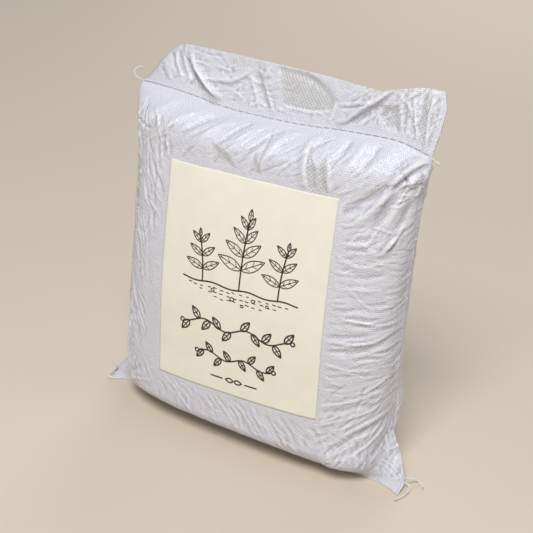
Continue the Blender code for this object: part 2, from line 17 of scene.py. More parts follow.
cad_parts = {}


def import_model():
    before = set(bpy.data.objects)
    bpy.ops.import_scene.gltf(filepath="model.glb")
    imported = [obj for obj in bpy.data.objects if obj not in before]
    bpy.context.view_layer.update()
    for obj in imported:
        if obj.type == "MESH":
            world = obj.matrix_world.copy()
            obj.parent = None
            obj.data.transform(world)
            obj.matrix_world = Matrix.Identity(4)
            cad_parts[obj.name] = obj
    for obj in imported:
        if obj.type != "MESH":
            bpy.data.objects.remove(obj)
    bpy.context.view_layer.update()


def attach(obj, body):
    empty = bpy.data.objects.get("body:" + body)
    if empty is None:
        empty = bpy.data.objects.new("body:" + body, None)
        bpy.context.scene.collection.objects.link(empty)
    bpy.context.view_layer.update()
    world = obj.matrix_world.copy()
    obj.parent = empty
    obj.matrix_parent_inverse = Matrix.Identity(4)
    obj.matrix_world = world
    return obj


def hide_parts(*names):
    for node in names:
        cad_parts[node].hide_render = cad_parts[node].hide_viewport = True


LOG = logging.getLogger("compost_sack")
CONTACT_GAP = 0.0003
FAR_AWAY = 9.0

Curve = Callable[[np.ndarray], np.ndarray]
Points = Sequence[tuple[float, float]]


class Slot(Enum):
    """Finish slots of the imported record."""

    CLOTH = "woven_fabric"
    PAPER = "label_paper"
    THREAD = "sewing_thread"


class FoldProfile(Enum):
    """How the cloth rises across a fold."""

    SOFT = "rounded swell"
    CREASE = "sharp crest with hollow flanks"
    STEP = "tuck, steep on the right of its path and gentle on the left"


class StitchKind(Enum):
    """The two threads of the closing seam."""

    NEEDLE = "straight stitches in front"
    LOOPER = "chained loops behind"


def smooth_curve(points: Points) -> Curve:
    """Makes a curve through points that is smooth and doesn't overshoot between them.

    Args:
        points: pairs of a place and a value, in rising order of place.

    Returns:
        A function from places to values.
    """
    xs, ys = (np.array(values, dtype=float) for values in zip(*points))
    steps = np.diff(xs)
    slopes = np.diff(ys) / steps
    tangents = np.zeros_like(ys)
    tangents[0], tangents[-1] = slopes[0], slopes[-1]
    for i in range(1, len(xs) - 1):
        if slopes[i - 1] * slopes[i] > 0:
            before, after = 2 * steps[i] + steps[i - 1], steps[i] + 2 * steps[i - 1]
            tangents[i] = (before + after) / (before / slopes[i - 1] + after / slopes[i])

    def value(x: np.ndarray) -> np.ndarray:
        """Returns the curve's value at x."""
        x = np.clip(x, xs[0], xs[-1])
        i = np.clip(np.searchsorted(xs, x, side="right") - 1, 0, len(steps) - 1)
        s = (x - xs[i]) / steps[i]
        rise = (1 + 2 * s) * (1 - s) ** 2 * ys[i] + s ** 2 * (3 - 2 * s) * ys[i + 1]
        turn = s * (1 - s) ** 2 * tangents[i] - s ** 2 * (1 - s) * tangents[i + 1]
        return rise + steps[i] * turn

    return value


def smooth_step(x: np.ndarray) -> np.ndarray:
    """Rises smoothly from 0 to 1 as x does."""
    x = np.clip(x, 0.0, 1.0)
    return x * x * (3 - 2 * x)


def window(x: np.ndarray, low: float, high: float, soft: float) -> np.ndarray:
    """Is 1 between low and high, and fades to 0 within soft on either side."""
    return smooth_step((x - low) / soft + 0.5) * smooth_step((high - x) / soft + 0.5)


def smooth_route(route: Sequence[Sequence[float]], spacing: float, least: int = 6) -> np.ndarray:
    """Lays evenly spaced points on a smooth curve through a route.

    Args:
        route: the points that the curve passes, in two or three dimensions.
        spacing: the wished distance between points.
        least: the least number of intervals.

    Returns:
        The points as rows.
    """
    route = np.array(route, dtype=float)
    ends = np.concatenate([[2 * route[0] - route[1]], route, [2 * route[-1] - route[-2]]])
    fine = []
    for a, b, c, d in zip(ends, ends[1:], ends[2:], ends[3:]):
        for s in np.linspace(0, 1, 24, endpoint=False):
            bend = (2 * a - 5 * b + 4 * c - d) * s ** 2 + (3 * b - a - 3 * c + d) * s ** 3
            fine.append(0.5 * (2 * b + (c - a) * s + bend))
    fine = np.array(fine + [route[-1]])
    length = np.concatenate([[0], np.cumsum(np.linalg.norm(np.diff(fine, axis=0), axis=1))])
    even = np.linspace(0, length[-1], max(least, round(length[-1] / spacing)) + 1)
    return np.stack([np.interp(even, length, fine[:, k]) for k in range(fine.shape[1])], axis=-1)


class GradientNoise:
    """Smooth noise in two dimensions, the same for the same seed."""

    def __init__(self, seed: int) -> None:
        """Draws the lattice of directions."""
        rng = np.random.default_rng(seed)
        self.order = rng.permutation(256)
        angle = rng.uniform(0, 2 * math.pi, 256)
        self.slopes = np.stack([np.cos(angle), np.sin(angle)], axis=-1)

    def __call__(self, x: np.ndarray, y: np.ndarray) -> np.ndarray:
        """Returns values from about -1 to 1, with features one unit apart."""
        left, low = np.floor(x).astype(int), np.floor(y).astype(int)
        fx, fy = x - left, y - low

        def corner(dx: int, dy: int) -> np.ndarray:
            """Returns the slope's part of one corner of the cell."""
            row = self.order[(left + dx) & 255]
            slope = self.slopes[self.order[(row + low + dy) & 255]]
            return slope[..., 0] * (fx - dx) + slope[..., 1] * (fy - dy)

        u = fx ** 3 * (fx * (6 * fx - 15) + 10)
        v = fy ** 3 * (fy * (6 * fy - 15) + 10)
        bottom = corner(0, 0) * (1 - u) + corner(1, 0) * u
        top = corner(0, 1) * (1 - u) + corner(1, 1) * u
        return 1.5 * (bottom * (1 - v) + top * v)

    def creased(self, x: np.ndarray, y: np.ndarray) -> np.ndarray:
        """Returns noise with sharp crests and round hollows, from about -1 to 1."""
        return 1 - 2.6 * np.sqrt(self(x, y) ** 2 + 0.0008)


@dataclass(frozen=True)
class Fold:
    """A ridge (+) or valley (-) of the cloth along a smooth path, in metres."""

    path: tuple[tuple[float, float], ...]
    width: float
    height: float
    profile: FoldProfile = FoldProfile.SOFT

    def relief(self, x: np.ndarray, z: np.ndarray) -> np.ndarray:
        """Returns how far the fold lifts the cloth at places x, z."""
        lift = np.zeros(np.shape(x))
        line = smooth_route(self.path, 0.002, least=8)
        reach = 4.5 * self.width
        low, high = line.min(axis=0) - reach, line.max(axis=0) + reach
        near = (x > low[0]) & (x < high[0]) & (z > low[1]) & (z < high[1])
        if near.any():
            away, share = self.distance(x[near], z[near], line)
            fade = np.sin(math.pi * (0.04 + 0.92 * share)) ** 0.8
            lift[near] = self.height * fade * self.rise(away / self.width)
        return lift

    @staticmethod
    def distance(x: np.ndarray, z: np.ndarray, line: np.ndarray) -> tuple[np.ndarray, np.ndarray]:
        """Measures the way to a line of points.

        Args:
            x: places across.
            z: places up.
            line: the line's points as rows.

        Returns:
            The distance, negative on the right of the line, and the share along it of the nearest point.
        """
        best = np.full(np.shape(x), np.inf)
        signed, share = np.zeros_like(best), np.zeros_like(best)
        count = len(line) - 1
        for k in range(count):
            (ax, az), (dx, dz) = line[k], line[k + 1] - line[k]
            px, pz = x - ax, z - az
            t = np.clip((px * dx + pz * dz) / (dx * dx + dz * dz), 0, 1)
            away = np.hypot(px - t * dx, pz - t * dz)
            closer = away < best
            best = np.where(closer, away, best)
            signed = np.where(closer, np.where(dx * pz - dz * px >= 0, away, -away), signed)
            share = np.where(closer, (k + t) / count, share)
        return signed, share

    def rise(self, q: np.ndarray) -> np.ndarray:
        """Returns the share of the height at q widths from the path."""
        if self.profile is FoldProfile.SOFT:
            return np.exp(-q ** 2)
        if self.profile is FoldProfile.CREASE:
            return 1.35 * np.exp(-1.7 * np.sqrt(q ** 2 + 0.03)) - 0.35 * np.exp(-(q / 2.2) ** 2)
        return np.where(q > 0, np.exp(-(q / 1.5) ** 2), np.exp(-(q / 0.28) ** 2))


@dataclass(frozen=True)
class Streaks:
    """Fine creases that run one way, within a soft-edged patch of the cloth.

    The patch is given by its limits across and up. Across is measured on the cloth from the crease on the side
    that is named, onwards over the front, so that the streaks run on round the crease to the back.
    """

    side: int
    across: tuple[float, float]
    up: tuple[float, float]
    angle: float
    spacing: float
    height: float
    seed: int
    stretch: float = 5.0
    soft: float = 0.035

    def relief(self, arc: np.ndarray, z: np.ndarray) -> np.ndarray:
        """Returns how far the streaks lift the cloth at arc along the cloth from the crease and height z."""
        noise = GradientNoise(self.seed)
        turn = math.radians(self.angle)
        along = arc * self.side * -math.cos(turn) + z * math.sin(turn)
        over = arc * self.side * math.sin(turn) + z * math.cos(turn)
        bend = 0.75 * noise(along / 0.045, over / 0.045) + 0.2 * noise(along / 0.014 + 9.0, over / 0.014)
        u, v = over / self.spacing + bend, along / (self.spacing * self.stretch)
        coarse = noise.creased(u, v)
        fine = noise.creased(1.9 * u + 31.7, 1.6 * v + 5.3)
        patchy = 0.62 + 0.6 * noise(along / 0.05 + 3.1, over / 0.03 + 7.7)
        mask = window(arc, *self.across, self.soft) * window(z, *self.up, self.soft)
        return self.height * mask * np.clip(patchy, 0.15, 1.2) * (0.7 * coarse + 0.3 * fine)


@dataclass(frozen=True)
class Creases:
    """Short sharp creases, scattered over a patch of the cloth and running mostly one way.

    The patch is given as that of the streaks, and the angle and its spread are in degrees from level.
    """

    side: int
    across: tuple[float, float]
    up: tuple[float, float]
    angle: float
    spread: float
    count: int
    length: float
    width: float
    height: float
    seed: int

    def relief(self, arc: np.ndarray, z: np.ndarray) -> np.ndarray:
        """Returns how far the creases lift the cloth at arc along the cloth from the side and height z."""
        rng = np.random.default_rng(self.seed)
        lift = np.zeros(np.shape(arc))
        places = -self.side * arc
        levels = z.mean(axis=1)
        order = np.argsort(levels)
        for _ in range(self.count):
            middle_arc, middle_z = rng.uniform(*self.across), rng.uniform(*self.up)
            turn = math.radians(rng.normal(self.angle, self.spread))
            half = self.length * rng.uniform(0.35, 1.0) / 2
            width = self.width * rng.uniform(0.6, 1.3)
            height = self.height * rng.uniform(0.35, 1.0) * (1 if rng.random() < 0.6 else -0.8)
            bend = rng.normal(0.0, 0.16) / half
            reach = half * abs(math.sin(turn)) + 5 * width
            low, high = np.searchsorted(levels[order], (middle_z - reach, middle_z + reach))
            rows = order[low:high]
            if not len(rows):
                continue
            dx, dz = places[rows] + self.side * middle_arc, z[rows] - middle_z
            along = dx * math.cos(turn) + dz * math.sin(turn)
            over = dz * math.cos(turn) - dx * math.sin(turn) + bend * along ** 2
            near = (np.abs(along) < half) & (np.abs(over) < 5 * width)
            fade = np.clip(1 - (along[near] / half) ** 2, 0, 1) ** 1.5
            q = over[near] / width
            crest = 1.3 * np.exp(-1.8 * np.sqrt(q ** 2 + 0.02)) - 0.3 * np.exp(-(q / 2.0) ** 2)
            part = lift[rows]
            part[near] += height * fade * crest
            lift[rows] = part
        return lift


@dataclass(frozen=True)
class Crumple:
    """Crumples without one direction, as in film that was squeezed in the hand."""

    size: float
    height: float
    seed: int

    def relief(self, x: np.ndarray, z: np.ndarray) -> np.ndarray:
        """Returns how far the crumples lift the cloth."""
        noise = GradientNoise(self.seed)
        bend_x = x / self.size + 0.7 * noise(z / (2.2 * self.size), x / (2.2 * self.size))
        bend_z = z / self.size + 0.7 * noise(x / (2.2 * self.size) + 4.4, z / (2.2 * self.size) + 8.8)
        total = noise.creased(bend_x, bend_z) + 0.5 * noise.creased(2.1 * bend_x + 3.3, 2.1 * bend_z + 1.7)
        return self.height * total / 1.5


@dataclass(frozen=True)
class Dent:
    """A flat facet that is pressed into the cloth, with its convex outline counter-clockwise from outside."""

    corners: Points
    depth: float
    soft: float = 0.005
    greying: float = 0.8

    def inside(self, x: np.ndarray, z: np.ndarray) -> np.ndarray:
        """Returns the distance from the outline, positive inside it."""
        nearest = np.full(np.shape(x), np.inf)
        for (ax, az), (bx, bz) in zip(self.corners, (*self.corners[1:], self.corners[0])):
            length = math.hypot(bx - ax, bz - az)
            nearest = np.minimum(nearest, ((bx - ax) * (z - az) - (bz - az) * (x - ax)) / length)
        return nearest

    def relief(self, x: np.ndarray, z: np.ndarray) -> np.ndarray:
        """Returns how far the dent lifts the cloth, which is downwards."""
        return -self.depth * np.clip(self.inside(x, z) / self.soft, 0, 1)

    def bare(self, x: np.ndarray, z: np.ndarray) -> np.ndarray:
        """Returns how far the dent's facet is painted grey."""
        return self.greying * smooth_step(self.inside(x, z) / 0.002 + 0.5)


DENTS = (
    Dent(((0.0463, 0.345), (0.0512, 0.3246), (0.0571, 0.306), (0.0665, 0.306), (0.061, 0.329)), 0.0024, 0.006),
    Dent(((0.061, 0.329), (0.0665, 0.306), (0.0765, 0.306), (0.0725, 0.33), (0.0655, 0.3435)), 0.0018, 0.006),
    Dent(((-0.0569, 0.332), (-0.051, 0.308), (-0.022, 0.308), (-0.0359, 0.3245)), 0.0022, 0.007, 0.6),
    Dent(((-0.007, 0.333), (-0.01, 0.308), (0.006, 0.308), (0.0, 0.322)), 0.0014, 0.004, 0.4),
)

BODY_FOLDS = (
    # gathers that run down to the left from the closing seam
    Fold(((-0.008, 0.359), (-0.022, 0.346), (-0.04, 0.322)), 0.0048, 0.002),
    Fold(((0.034, 0.358), (0.013, 0.345), (-0.004, 0.309)), 0.005, 0.0023),
    Fold(((-0.04, 0.357), (-0.06, 0.341), (-0.077, 0.313)), 0.0048, 0.0019),
    Fold(((-0.071, 0.355), (-0.096, 0.343), (-0.125, 0.318)), 0.005, 0.002),
    Fold(((-0.108, 0.3545), (-0.129, 0.339), (-0.148, 0.31)), 0.005, 0.0018),
    Fold(((-0.001, 0.356), (0.002, 0.341), (-0.001, 0.305)), 0.0022, -0.0017, FoldProfile.CREASE),
    Fold(((0.016, 0.356), (-0.006, 0.341), (-0.024, 0.31)), 0.0035, -0.0015),
    Fold(((-0.023, 0.356), (-0.04, 0.341), (-0.058, 0.313)), 0.0033, -0.0013),
    Fold(((-0.056, 0.356), (-0.078, 0.341), (-0.099, 0.313)), 0.0033, -0.0013),
    Fold(((0.059, 0.359), (0.044, 0.347), (0.048, 0.334)), 0.004, 0.0016),
    Fold(((0.084, 0.36), (0.081, 0.347), (0.072, 0.332)), 0.004, -0.002),
    Fold(((0.1, 0.36), (0.095, 0.347), (0.086, 0.326)), 0.0045, 0.0017),
    Fold(((0.115, 0.36), (0.109, 0.347), (0.102, 0.334)), 0.004, -0.002),
    # edges of the two greyed facets above the label's right top corner
    Fold(((0.055, 0.306), (0.05, 0.3246), (0.0455, 0.347)), 0.004, 0.0028, FoldProfile.STEP),
    Fold(((0.062, 0.345), (0.07, 0.33), (0.078, 0.31)), 0.004, 0.0014),
    # tuck and knot of cloth under the right end of the seam, and the folds that run down from it
    Fold(((0.133, 0.324), (0.14, 0.335), (0.1457, 0.3417), (0.1533, 0.3509), (0.159, 0.356)), 0.0036, 0.007,
         FoldProfile.STEP),
    Fold(((0.149, 0.331), (0.1519, 0.339), (0.1565, 0.345)), 0.0042, 0.0056),
    Fold(((0.14, 0.339), (0.143, 0.3385), (0.1467, 0.3359), (0.148, 0.33)), 0.0017, -0.0056,
         FoldProfile.CREASE),
    Fold(((0.16, 0.348), (0.161, 0.338), (0.157, 0.328)), 0.0026, 0.0034, FoldProfile.CREASE),
    Fold(((0.1406, 0.334), (0.12, 0.317), (0.0911, 0.2914)), 0.005, -0.0044),
    Fold(((0.1382, 0.3256), (0.132, 0.305), (0.1221, 0.2813)), 0.0045, -0.0038),
    Fold(((0.14, 0.329), (0.127, 0.31), (0.108, 0.286)), 0.0034, 0.003),
    Fold(((0.148, 0.324), (0.141, 0.306), (0.134, 0.286)), 0.0038, 0.0026),
    Fold(((0.154, 0.318), (0.149, 0.3), (0.144, 0.286)), 0.0032, -0.0024),
    Fold(((0.1461, 0.2763), (0.143, 0.269), (0.1388, 0.2637)), 0.0015, -0.004, FoldProfile.CREASE),
    Fold(((0.144, 0.28), (0.14, 0.271), (0.135, 0.264)), 0.0022, 0.0026),
    Fold(((0.1071, 0.2245), (0.123, 0.211), (0.1406, 0.1981)), 0.0013, 0.0012, FoldProfile.CREASE),
    Fold(((0.106, 0.1885), (0.13, 0.188), (0.1539, 0.1866)), 0.002, 0.0028, FoldProfile.CREASE),
    # pleat and level folds that end at the right side crease
    Fold(((0.133, 0.259), (0.139, 0.264), (0.147, 0.281), (0.15, 0.29)), 0.0016, 0.0022, FoldProfile.STEP),
    Fold(((0.103, 0.264), (0.117, 0.268), (0.132, 0.259)), 0.0034, 0.0014),
    Fold(((0.098, 0.248), (0.12, 0.245), (0.145, 0.256)), 0.003, 0.0017, FoldProfile.CREASE),
    Fold(((0.106, 0.238), (0.126, 0.236), (0.146, 0.244)), 0.003, -0.0014),
    Fold(((0.1, 0.218), (0.122, 0.223), (0.144, 0.224)), 0.0026, 0.0012, FoldProfile.CREASE),
    Fold(((0.098, 0.195), (0.121, 0.202), (0.146, 0.212)), 0.0026, -0.0012),
    Fold(((0.096, 0.162), (0.122, 0.164), (0.141, 0.169), (0.155, 0.179)), 0.0022, 0.0024, FoldProfile.CREASE),
    Fold(((0.099, 0.17), (0.121, 0.172), (0.14, 0.179)), 0.0028, -0.0016),
    Fold(((0.1, 0.153), (0.124, 0.155), (0.143, 0.164), (0.156, 0.176)), 0.0026, -0.0018),
    Fold(((0.1, 0.137), (0.124, 0.135), (0.15, 0.141)), 0.0024, 0.0016, FoldProfile.CREASE),
    Fold(((0.117, 0.105), (0.138, 0.111), (0.153, 0.107)), 0.0024, 0.0012, FoldProfile.CREASE),
    Fold(((0.096, 0.088), (0.122, 0.097), (0.143, 0.108), (0.156, 0.117)), 0.0024, 0.002, FoldProfile.CREASE),
    Fold(((0.1, 0.082), (0.124, 0.09), (0.145, 0.101)), 0.003, -0.0015),
    Fold(((0.137, 0.109), (0.147, 0.118), (0.156, 0.128)), 0.002, 0.0016, FoldProfile.STEP),
    # folds that fan out from the bottom of the right side crease
    Fold(((0.157, 0.086), (0.143, 0.076), (0.122, 0.058)), 0.0022, 0.0024, FoldProfile.STEP),
    Fold(((0.157, 0.078), (0.139, 0.064), (0.121, 0.047)), 0.003, -0.002),
    Fold(((0.157, 0.07), (0.148, 0.052), (0.134, 0.035)), 0.0024, 0.002, FoldProfile.CREASE),
    Fold(((0.159, 0.062), (0.155, 0.045), (0.146, 0.027)), 0.0026, -0.0018),
    Fold(((0.152, 0.095), (0.128, 0.08), (0.098, 0.065)), 0.0028, 0.0014, FoldProfile.CREASE),
    # broad swell above the right bottom corner
    Fold(((0.1023, 0.0198), (0.1271, 0.0234), (0.1488, 0.0306)), 0.0156, 0.0044),
    # folds that run up from the left bottom corner and along the left strip
    Fold(((-0.153, 0.043), (-0.146, 0.072), (-0.14, 0.108)), 0.0034, 0.0018),
    Fold(((-0.148, 0.031), (-0.135, 0.043), (-0.116, 0.059)), 0.0032, -0.0015),
    Fold(((-0.139, 0.03), (-0.12, 0.039), (-0.1, 0.048)), 0.0028, 0.0014, FoldProfile.CREASE),
    Fold(((-0.146, 0.22), (-0.138, 0.193), (-0.127, 0.165)), 0.0024, 0.0018, FoldProfile.CREASE),
    Fold(((-0.15, 0.18), (-0.141, 0.15), (-0.13, 0.12)), 0.0026, 0.0016, FoldProfile.CREASE),
    Fold(((-0.14, 0.135), (-0.131, 0.108), (-0.12, 0.085)), 0.0026, -0.0015),
    Fold(((-0.149, 0.265), (-0.142, 0.242), (-0.133, 0.22)), 0.0028, -0.0013),
    # bottom strip below the label
    Fold(((-0.07, 0.052), (-0.054, 0.036), (-0.036, 0.02)), 0.0026, 0.0014, FoldProfile.CREASE),
    Fold(((-0.015, 0.056), (0.002, 0.04), (0.018, 0.022)), 0.0026, 0.0012, FoldProfile.CREASE),
    Fold(((0.04, 0.06), (0.055, 0.043), (0.068, 0.026)), 0.0026, -0.0012),
)

BACK_FOLDS = (
    Fold(((-0.109, 0.3546), (-0.093, 0.3348), (-0.0682, 0.306)), 0.0052, 0.0022),
    Fold(((-0.0698, 0.3546), (-0.0558, 0.3312), (-0.0341, 0.2952)), 0.0052, -0.0019),
    Fold(((-0.031, 0.3546), (-0.0186, 0.3348), (0.0, 0.3024)), 0.0052, 0.0022),
    Fold(((0.0155, 0.3546), (0.0248, 0.3348), (0.0403, 0.306)), 0.0046, -0.0018),
    Fold(((0.0589, 0.3546), (0.0651, 0.3348), (0.0775, 0.3096)), 0.0048, 0.002),
    Fold(((0.1085, 0.3546), (0.1116, 0.3348), (0.1209, 0.3096)), 0.0048, -0.0019),
    Fold(((-0.15, 0.2232), (-0.1085, 0.216), (-0.062, 0.2016)), 0.003, 0.0018, FoldProfile.CREASE),
    Fold(((-0.15, 0.1512), (-0.1163, 0.1584), (-0.0775, 0.1548)), 0.0036, -0.0018),
    Fold(((0.15, 0.1944), (0.1147, 0.1872), (0.0775, 0.1728)), 0.003, 0.0019, FoldProfile.CREASE),
    Fold(((0.15, 0.1224), (0.1209, 0.1224), (0.0853, 0.1152)), 0.0034, -0.0016),
    Fold(((-0.1519, 0.054), (-0.124, 0.0684), (-0.0961, 0.0936)), 0.0034, 0.0022, FoldProfile.CREASE),
    Fold(((0.1519, 0.0576), (0.1271, 0.072), (0.1023, 0.1008)), 0.0034, 0.0022, FoldProfile.CREASE),
    Fold(((0.1519, 0.0792), (0.1333, 0.0936), (0.1116, 0.1188)), 0.004, -0.0017),
    Fold(((-0.06, 0.13), (-0.01, 0.122), (0.045, 0.129)), 0.003, 0.0012, FoldProfile.CREASE),
    Fold(((-0.05, 0.04), (-0.025, 0.056), (0.005, 0.064)), 0.0034, 0.0013, FoldProfile.CREASE),
    # broad swells behind the right side crease, low down and under the knot
    Fold(((0.1504, 0.0972), (0.1488, 0.072), (0.1473, 0.0468)), 0.0168, 0.0044),
    Fold(((0.1519, 0.3384), (0.1504, 0.3276), (0.1473, 0.3132)), 0.0108, 0.0032),
)

COLLAR_FOLDS = (
    # the left corner is folded in: two slits, then a deep valley with a bright ridge along its right
    Fold(((-0.118, 0.045), (-0.1145, 0.037), (-0.1023, 0.0276), (-0.0835, 0.0134), (-0.066, 0.0035)), 0.0036,
         0.0062, FoldProfile.STEP),
    Fold(((-0.1165, 0.043), (-0.11, 0.033), (-0.102, 0.0215), (-0.089, 0.011)), 0.003, -0.0058),
    Fold(((-0.13, 0.034), (-0.126, 0.026), (-0.1215, 0.019)), 0.002, -0.0066, FoldProfile.CREASE),
    Fold(((-0.1215, 0.037), (-0.1165, 0.027), (-0.11, 0.017)), 0.002, -0.007, FoldProfile.CREASE),
    Fold(((-0.1258, 0.0345), (-0.121, 0.025), (-0.1155, 0.015)), 0.0016, 0.0026),
    Fold(((-0.137, 0.026), (-0.131, 0.017), (-0.126, 0.008)), 0.003, 0.0018),
    # crumpled ridge that runs level to the right of it, and the standing wrinkles left of the middle
    Fold(((-0.092, 0.019), (-0.0729, 0.0239), (-0.0575, 0.028), (-0.0382, 0.0438)), 0.0042, 0.0022,
         FoldProfile.STEP),
    Fold(((-0.035, 0.05), (-0.025, 0.029), (-0.011, 0.01)), 0.0044, -0.0024),
    Fold(((-0.04, 0.04), (-0.033, 0.027), (-0.022, 0.006)), 0.0018, 0.0018, FoldProfile.CREASE),
    Fold(((-0.029, 0.044), (-0.019, 0.026), (-0.004, 0.006)), 0.0018, 0.0018, FoldProfile.CREASE),
    Fold(((-0.022, 0.03), (-0.014, 0.016), (-0.006, 0.004)), 0.0018, 0.002, FoldProfile.STEP),
    # slope to the right of the middle: a shaded band under the rim and the edges of the greyed patch below it
    Fold(((-0.012, 0.051), (0.014, 0.05), (0.033, 0.044), (0.052, 0.033)), 0.004, -0.0026),
    Fold(((0.0, 0.019), (0.0325, 0.018), (0.053, 0.0215)), 0.0016, -0.0014, FoldProfile.CREASE),
    Fold(((0.0, 0.016), (0.032, 0.0145), (0.054, 0.0185)), 0.0018, 0.0008, FoldProfile.CREASE),
    Fold(((0.0515, 0.033), (0.056, 0.022), (0.053, 0.007)), 0.0026, 0.0012, FoldProfile.CREASE),
    Fold(((0.06, 0.0225), (0.074, 0.0245), (0.09, 0.0285)), 0.0015, -0.003, FoldProfile.CREASE),
    Fold(((0.059, 0.0262), (0.075, 0.0285), (0.09, 0.032)), 0.002, 0.0018, FoldProfile.CREASE),
    # fold that rises from the seam to the notch in the top edge
    Fold(((0.06, 0.003), (0.068, 0.0075), (0.0876, 0.0254), (0.1, 0.035), (0.111, 0.047)), 0.0036, 0.005,
         FoldProfile.STEP),
    Fold(((0.074, 0.006), (0.093, 0.023), (0.106, 0.038)), 0.0028, -0.0028),
    Fold(((0.083, 0.006), (0.099, 0.022), (0.112, 0.04)), 0.0018, 0.002, FoldProfile.CREASE),
    Fold(((0.124, 0.045), (0.128, 0.025), (0.131, 0.006)), 0.0026, -0.0032, FoldProfile.CREASE),
    Fold(((0.133, 0.04), (0.139, 0.022), (0.144, 0.007)), 0.0018, 0.0028, FoldProfile.STEP),
    Fold(((0.118, 0.042), (0.131, 0.033), (0.144, 0.014)), 0.0022, 0.0022, FoldProfile.CREASE),
    # folded side edge at the right end
    Fold(((0.1494, 0.057), (0.1498, 0.0311), (0.1534, 0.003)), 0.0018, 0.0034, FoldProfile.STEP),
    Fold(((0.143, 0.054), (0.144, 0.033), (0.147, 0.01)), 0.0022, -0.002),
)
COLLAR_DENTS = (
    Dent(((-0.108, 0.0095), (-0.069, 0.003), (-0.09, 0.013), (-0.101, 0.019)), 0.0024, 0.004, 0.7),
    Dent(((0.0018, 0.018), (0.0325, 0.017), (0.053, 0.02), (0.058, 0.03), (0.03, 0.049),
          (-0.01, 0.053)), 0.0009, 0.004, 0.85),
    Dent(((0.1097, 0.0099), (0.1288, 0.0071), (0.12, 0.0343), (0.098, 0.0305)), 0.0028, 0.005, 0.55),
)

STREAKS = (
    Streaks(-1, (0.02, 0.3), (0.305, 0.352), 47, 0.01, 0.0008, 11, 8.0),
    Streaks(1, (0.0, 0.16), (0.315, 0.352), 50, 0.01, 0.0007, 12, 8.0),
    Streaks(-1, (-0.03, 0.07), (0.02, 0.33), -66, 0.0064, 0.00165, 13, 6.0),
    Streaks(-1, (0.04, 0.4), (0.008, 0.062), -46, 0.007, 0.001, 14, 5.0),
    Streaks(1, (-0.06, 0.082), (0.095, 0.28), 8, 0.007, 0.0011, 15, 7.5),
    Streaks(1, (-0.04, 0.08), (0.24, 0.345), 36, 0.0085, 0.0009, 16, 6.0),
    Streaks(1, (-0.03, 0.085), (0.02, 0.105), 43, 0.0075, 0.001, 17, 6.0),
    Streaks(1, (-0.4, -0.02), (0.06, 0.3), 6, 0.011, 0.0007, 18, 5.0),
    Streaks(-1, (-0.4, -0.02), (0.02, 0.11), 38, 0.009, 0.0006, 19, 5.0),
    Streaks(1, (-0.4, -0.02), (0.29, 0.35), 55, 0.009, 0.0006, 20, 6.0),
)

CREASES = (
    Creases(-1, (-0.036, 0.066), (0.03, 0.335), -60, 24, 230, 0.04, 0.002, 0.003, 61),
    Creases(-1, (0.03, 0.33), (0.012, 0.062), -44, 15, 90, 0.036, 0.0017, 0.0011, 62),
    Creases(1, (-0.04, 0.055), (0.008, 0.06), 62, 20, 60, 0.036, 0.002, 0.0016, 69),
    Creases(-1, (-0.04, 0.04), (0.008, 0.06), -66, 20, 40, 0.034, 0.002, 0.0015, 70),
    Creases(1, (-0.02, 0.032), (0.312, 0.348), 40, 22, 40, 0.026, 0.002, 0.0024, 75),
    Creases(1, (-0.06, 0.08), (0.09, 0.29), 8, 11, 190, 0.046, 0.0017, 0.0011, 63),
    Creases(1, (-0.03, 0.085), (0.02, 0.11), 42, 13, 60, 0.048, 0.002, 0.0014, 64),
    Creases(1, (-0.03, 0.095), (0.27, 0.345), 38, 14, 50, 0.048, 0.0022, 0.0014, 65),
    Creases(-1, (0.02, 0.26), (0.308, 0.353), 47, 9, 46, 0.06, 0.0024, 0.0012, 66),
    Creases(1, (-0.34, -0.02), (0.05, 0.31), 4, 22, 260, 0.048, 0.0026, 0.0014, 67),
    Creases(1, (-0.33, -0.02), (0.29, 0.35), 54, 14, 110, 0.036, 0.0022, 0.0012, 68),
)
COLLAR_CREASES = (
    Creases(-1, (-0.15, 0.16), (0.006, 0.056), 62, 30, 80, 0.034, 0.002, 0.0014, 71),
    Creases(-1, (-0.15, 0.155), (0.005, 0.012), 82, 16, 90, 0.014, 0.0012, 0.0009, 76),
    Creases(-1, (-0.11, 0.0), (0.008, 0.046), 12, 26, 40, 0.034, 0.002, 0.0015, 72),
    Creases(-1, (0.125, 0.16), (0.008, 0.056), 78, 12, 45, 0.034, 0.0015, 0.0014, 73),
    Creases(-1, (0.07, 0.13), (0.008, 0.05), 50, 14, 40, 0.036, 0.002, 0.0014, 74),
    Creases(-1, (0.102, 0.128), (0.007, 0.024), 70, 45, 30, 0.012, 0.0012, 0.0016, 77),
)

# Crumples: along the way from the right and from the left side crease, and all over the collar
RIGHT_CRUMPLE = Crumple(0.013, 0.00016, 31)
LEFT_CRUMPLE = Crumple(0.013, 0.00016, 32)
COLLAR_CRUMPLES = (Crumple(0.013, 0.00045, 41), Crumple(0.0045, 0.00014, 42))

# Grey strokes of the bare mask. On the body they are painted shade in the crease down from the seam's middle and along
# the left side crease. On the collar they are painted shade along its valleys, under the rim and at the right side
# fold, plus one grey patch near the rim left of the middle. Paths on the front panel and on the collar
PAINTED_SHADE_BODY = (
    Fold(((-0.001, 0.352), (0.003, 0.339), (0.0, 0.308)), 0.0028, 0.55),
    Fold(((-0.152, 0.33), (-0.15, 0.22), (-0.148, 0.12)), 0.013, 0.75),
)
SHADE_AND_GREY_COLLAR = (
    Fold(((-0.034, 0.047), (-0.024, 0.028), (-0.011, 0.009)), 0.0046, 0.75),
    Fold(((-0.012, 0.05), (0.014, 0.048), (0.033, 0.043), (0.052, 0.033)), 0.004, 1.0),
    Fold(((-0.112, 0.038), (-0.104, 0.026), (-0.092, 0.012)), 0.0036, 0.8),
    Fold(((-0.07, 0.046), (-0.05, 0.046), (-0.033, 0.048)), 0.007, 0.45),
    Fold(((0.1465, 0.056), (0.1465, 0.03), (0.149, 0.005)), 0.0036, 0.8),
)


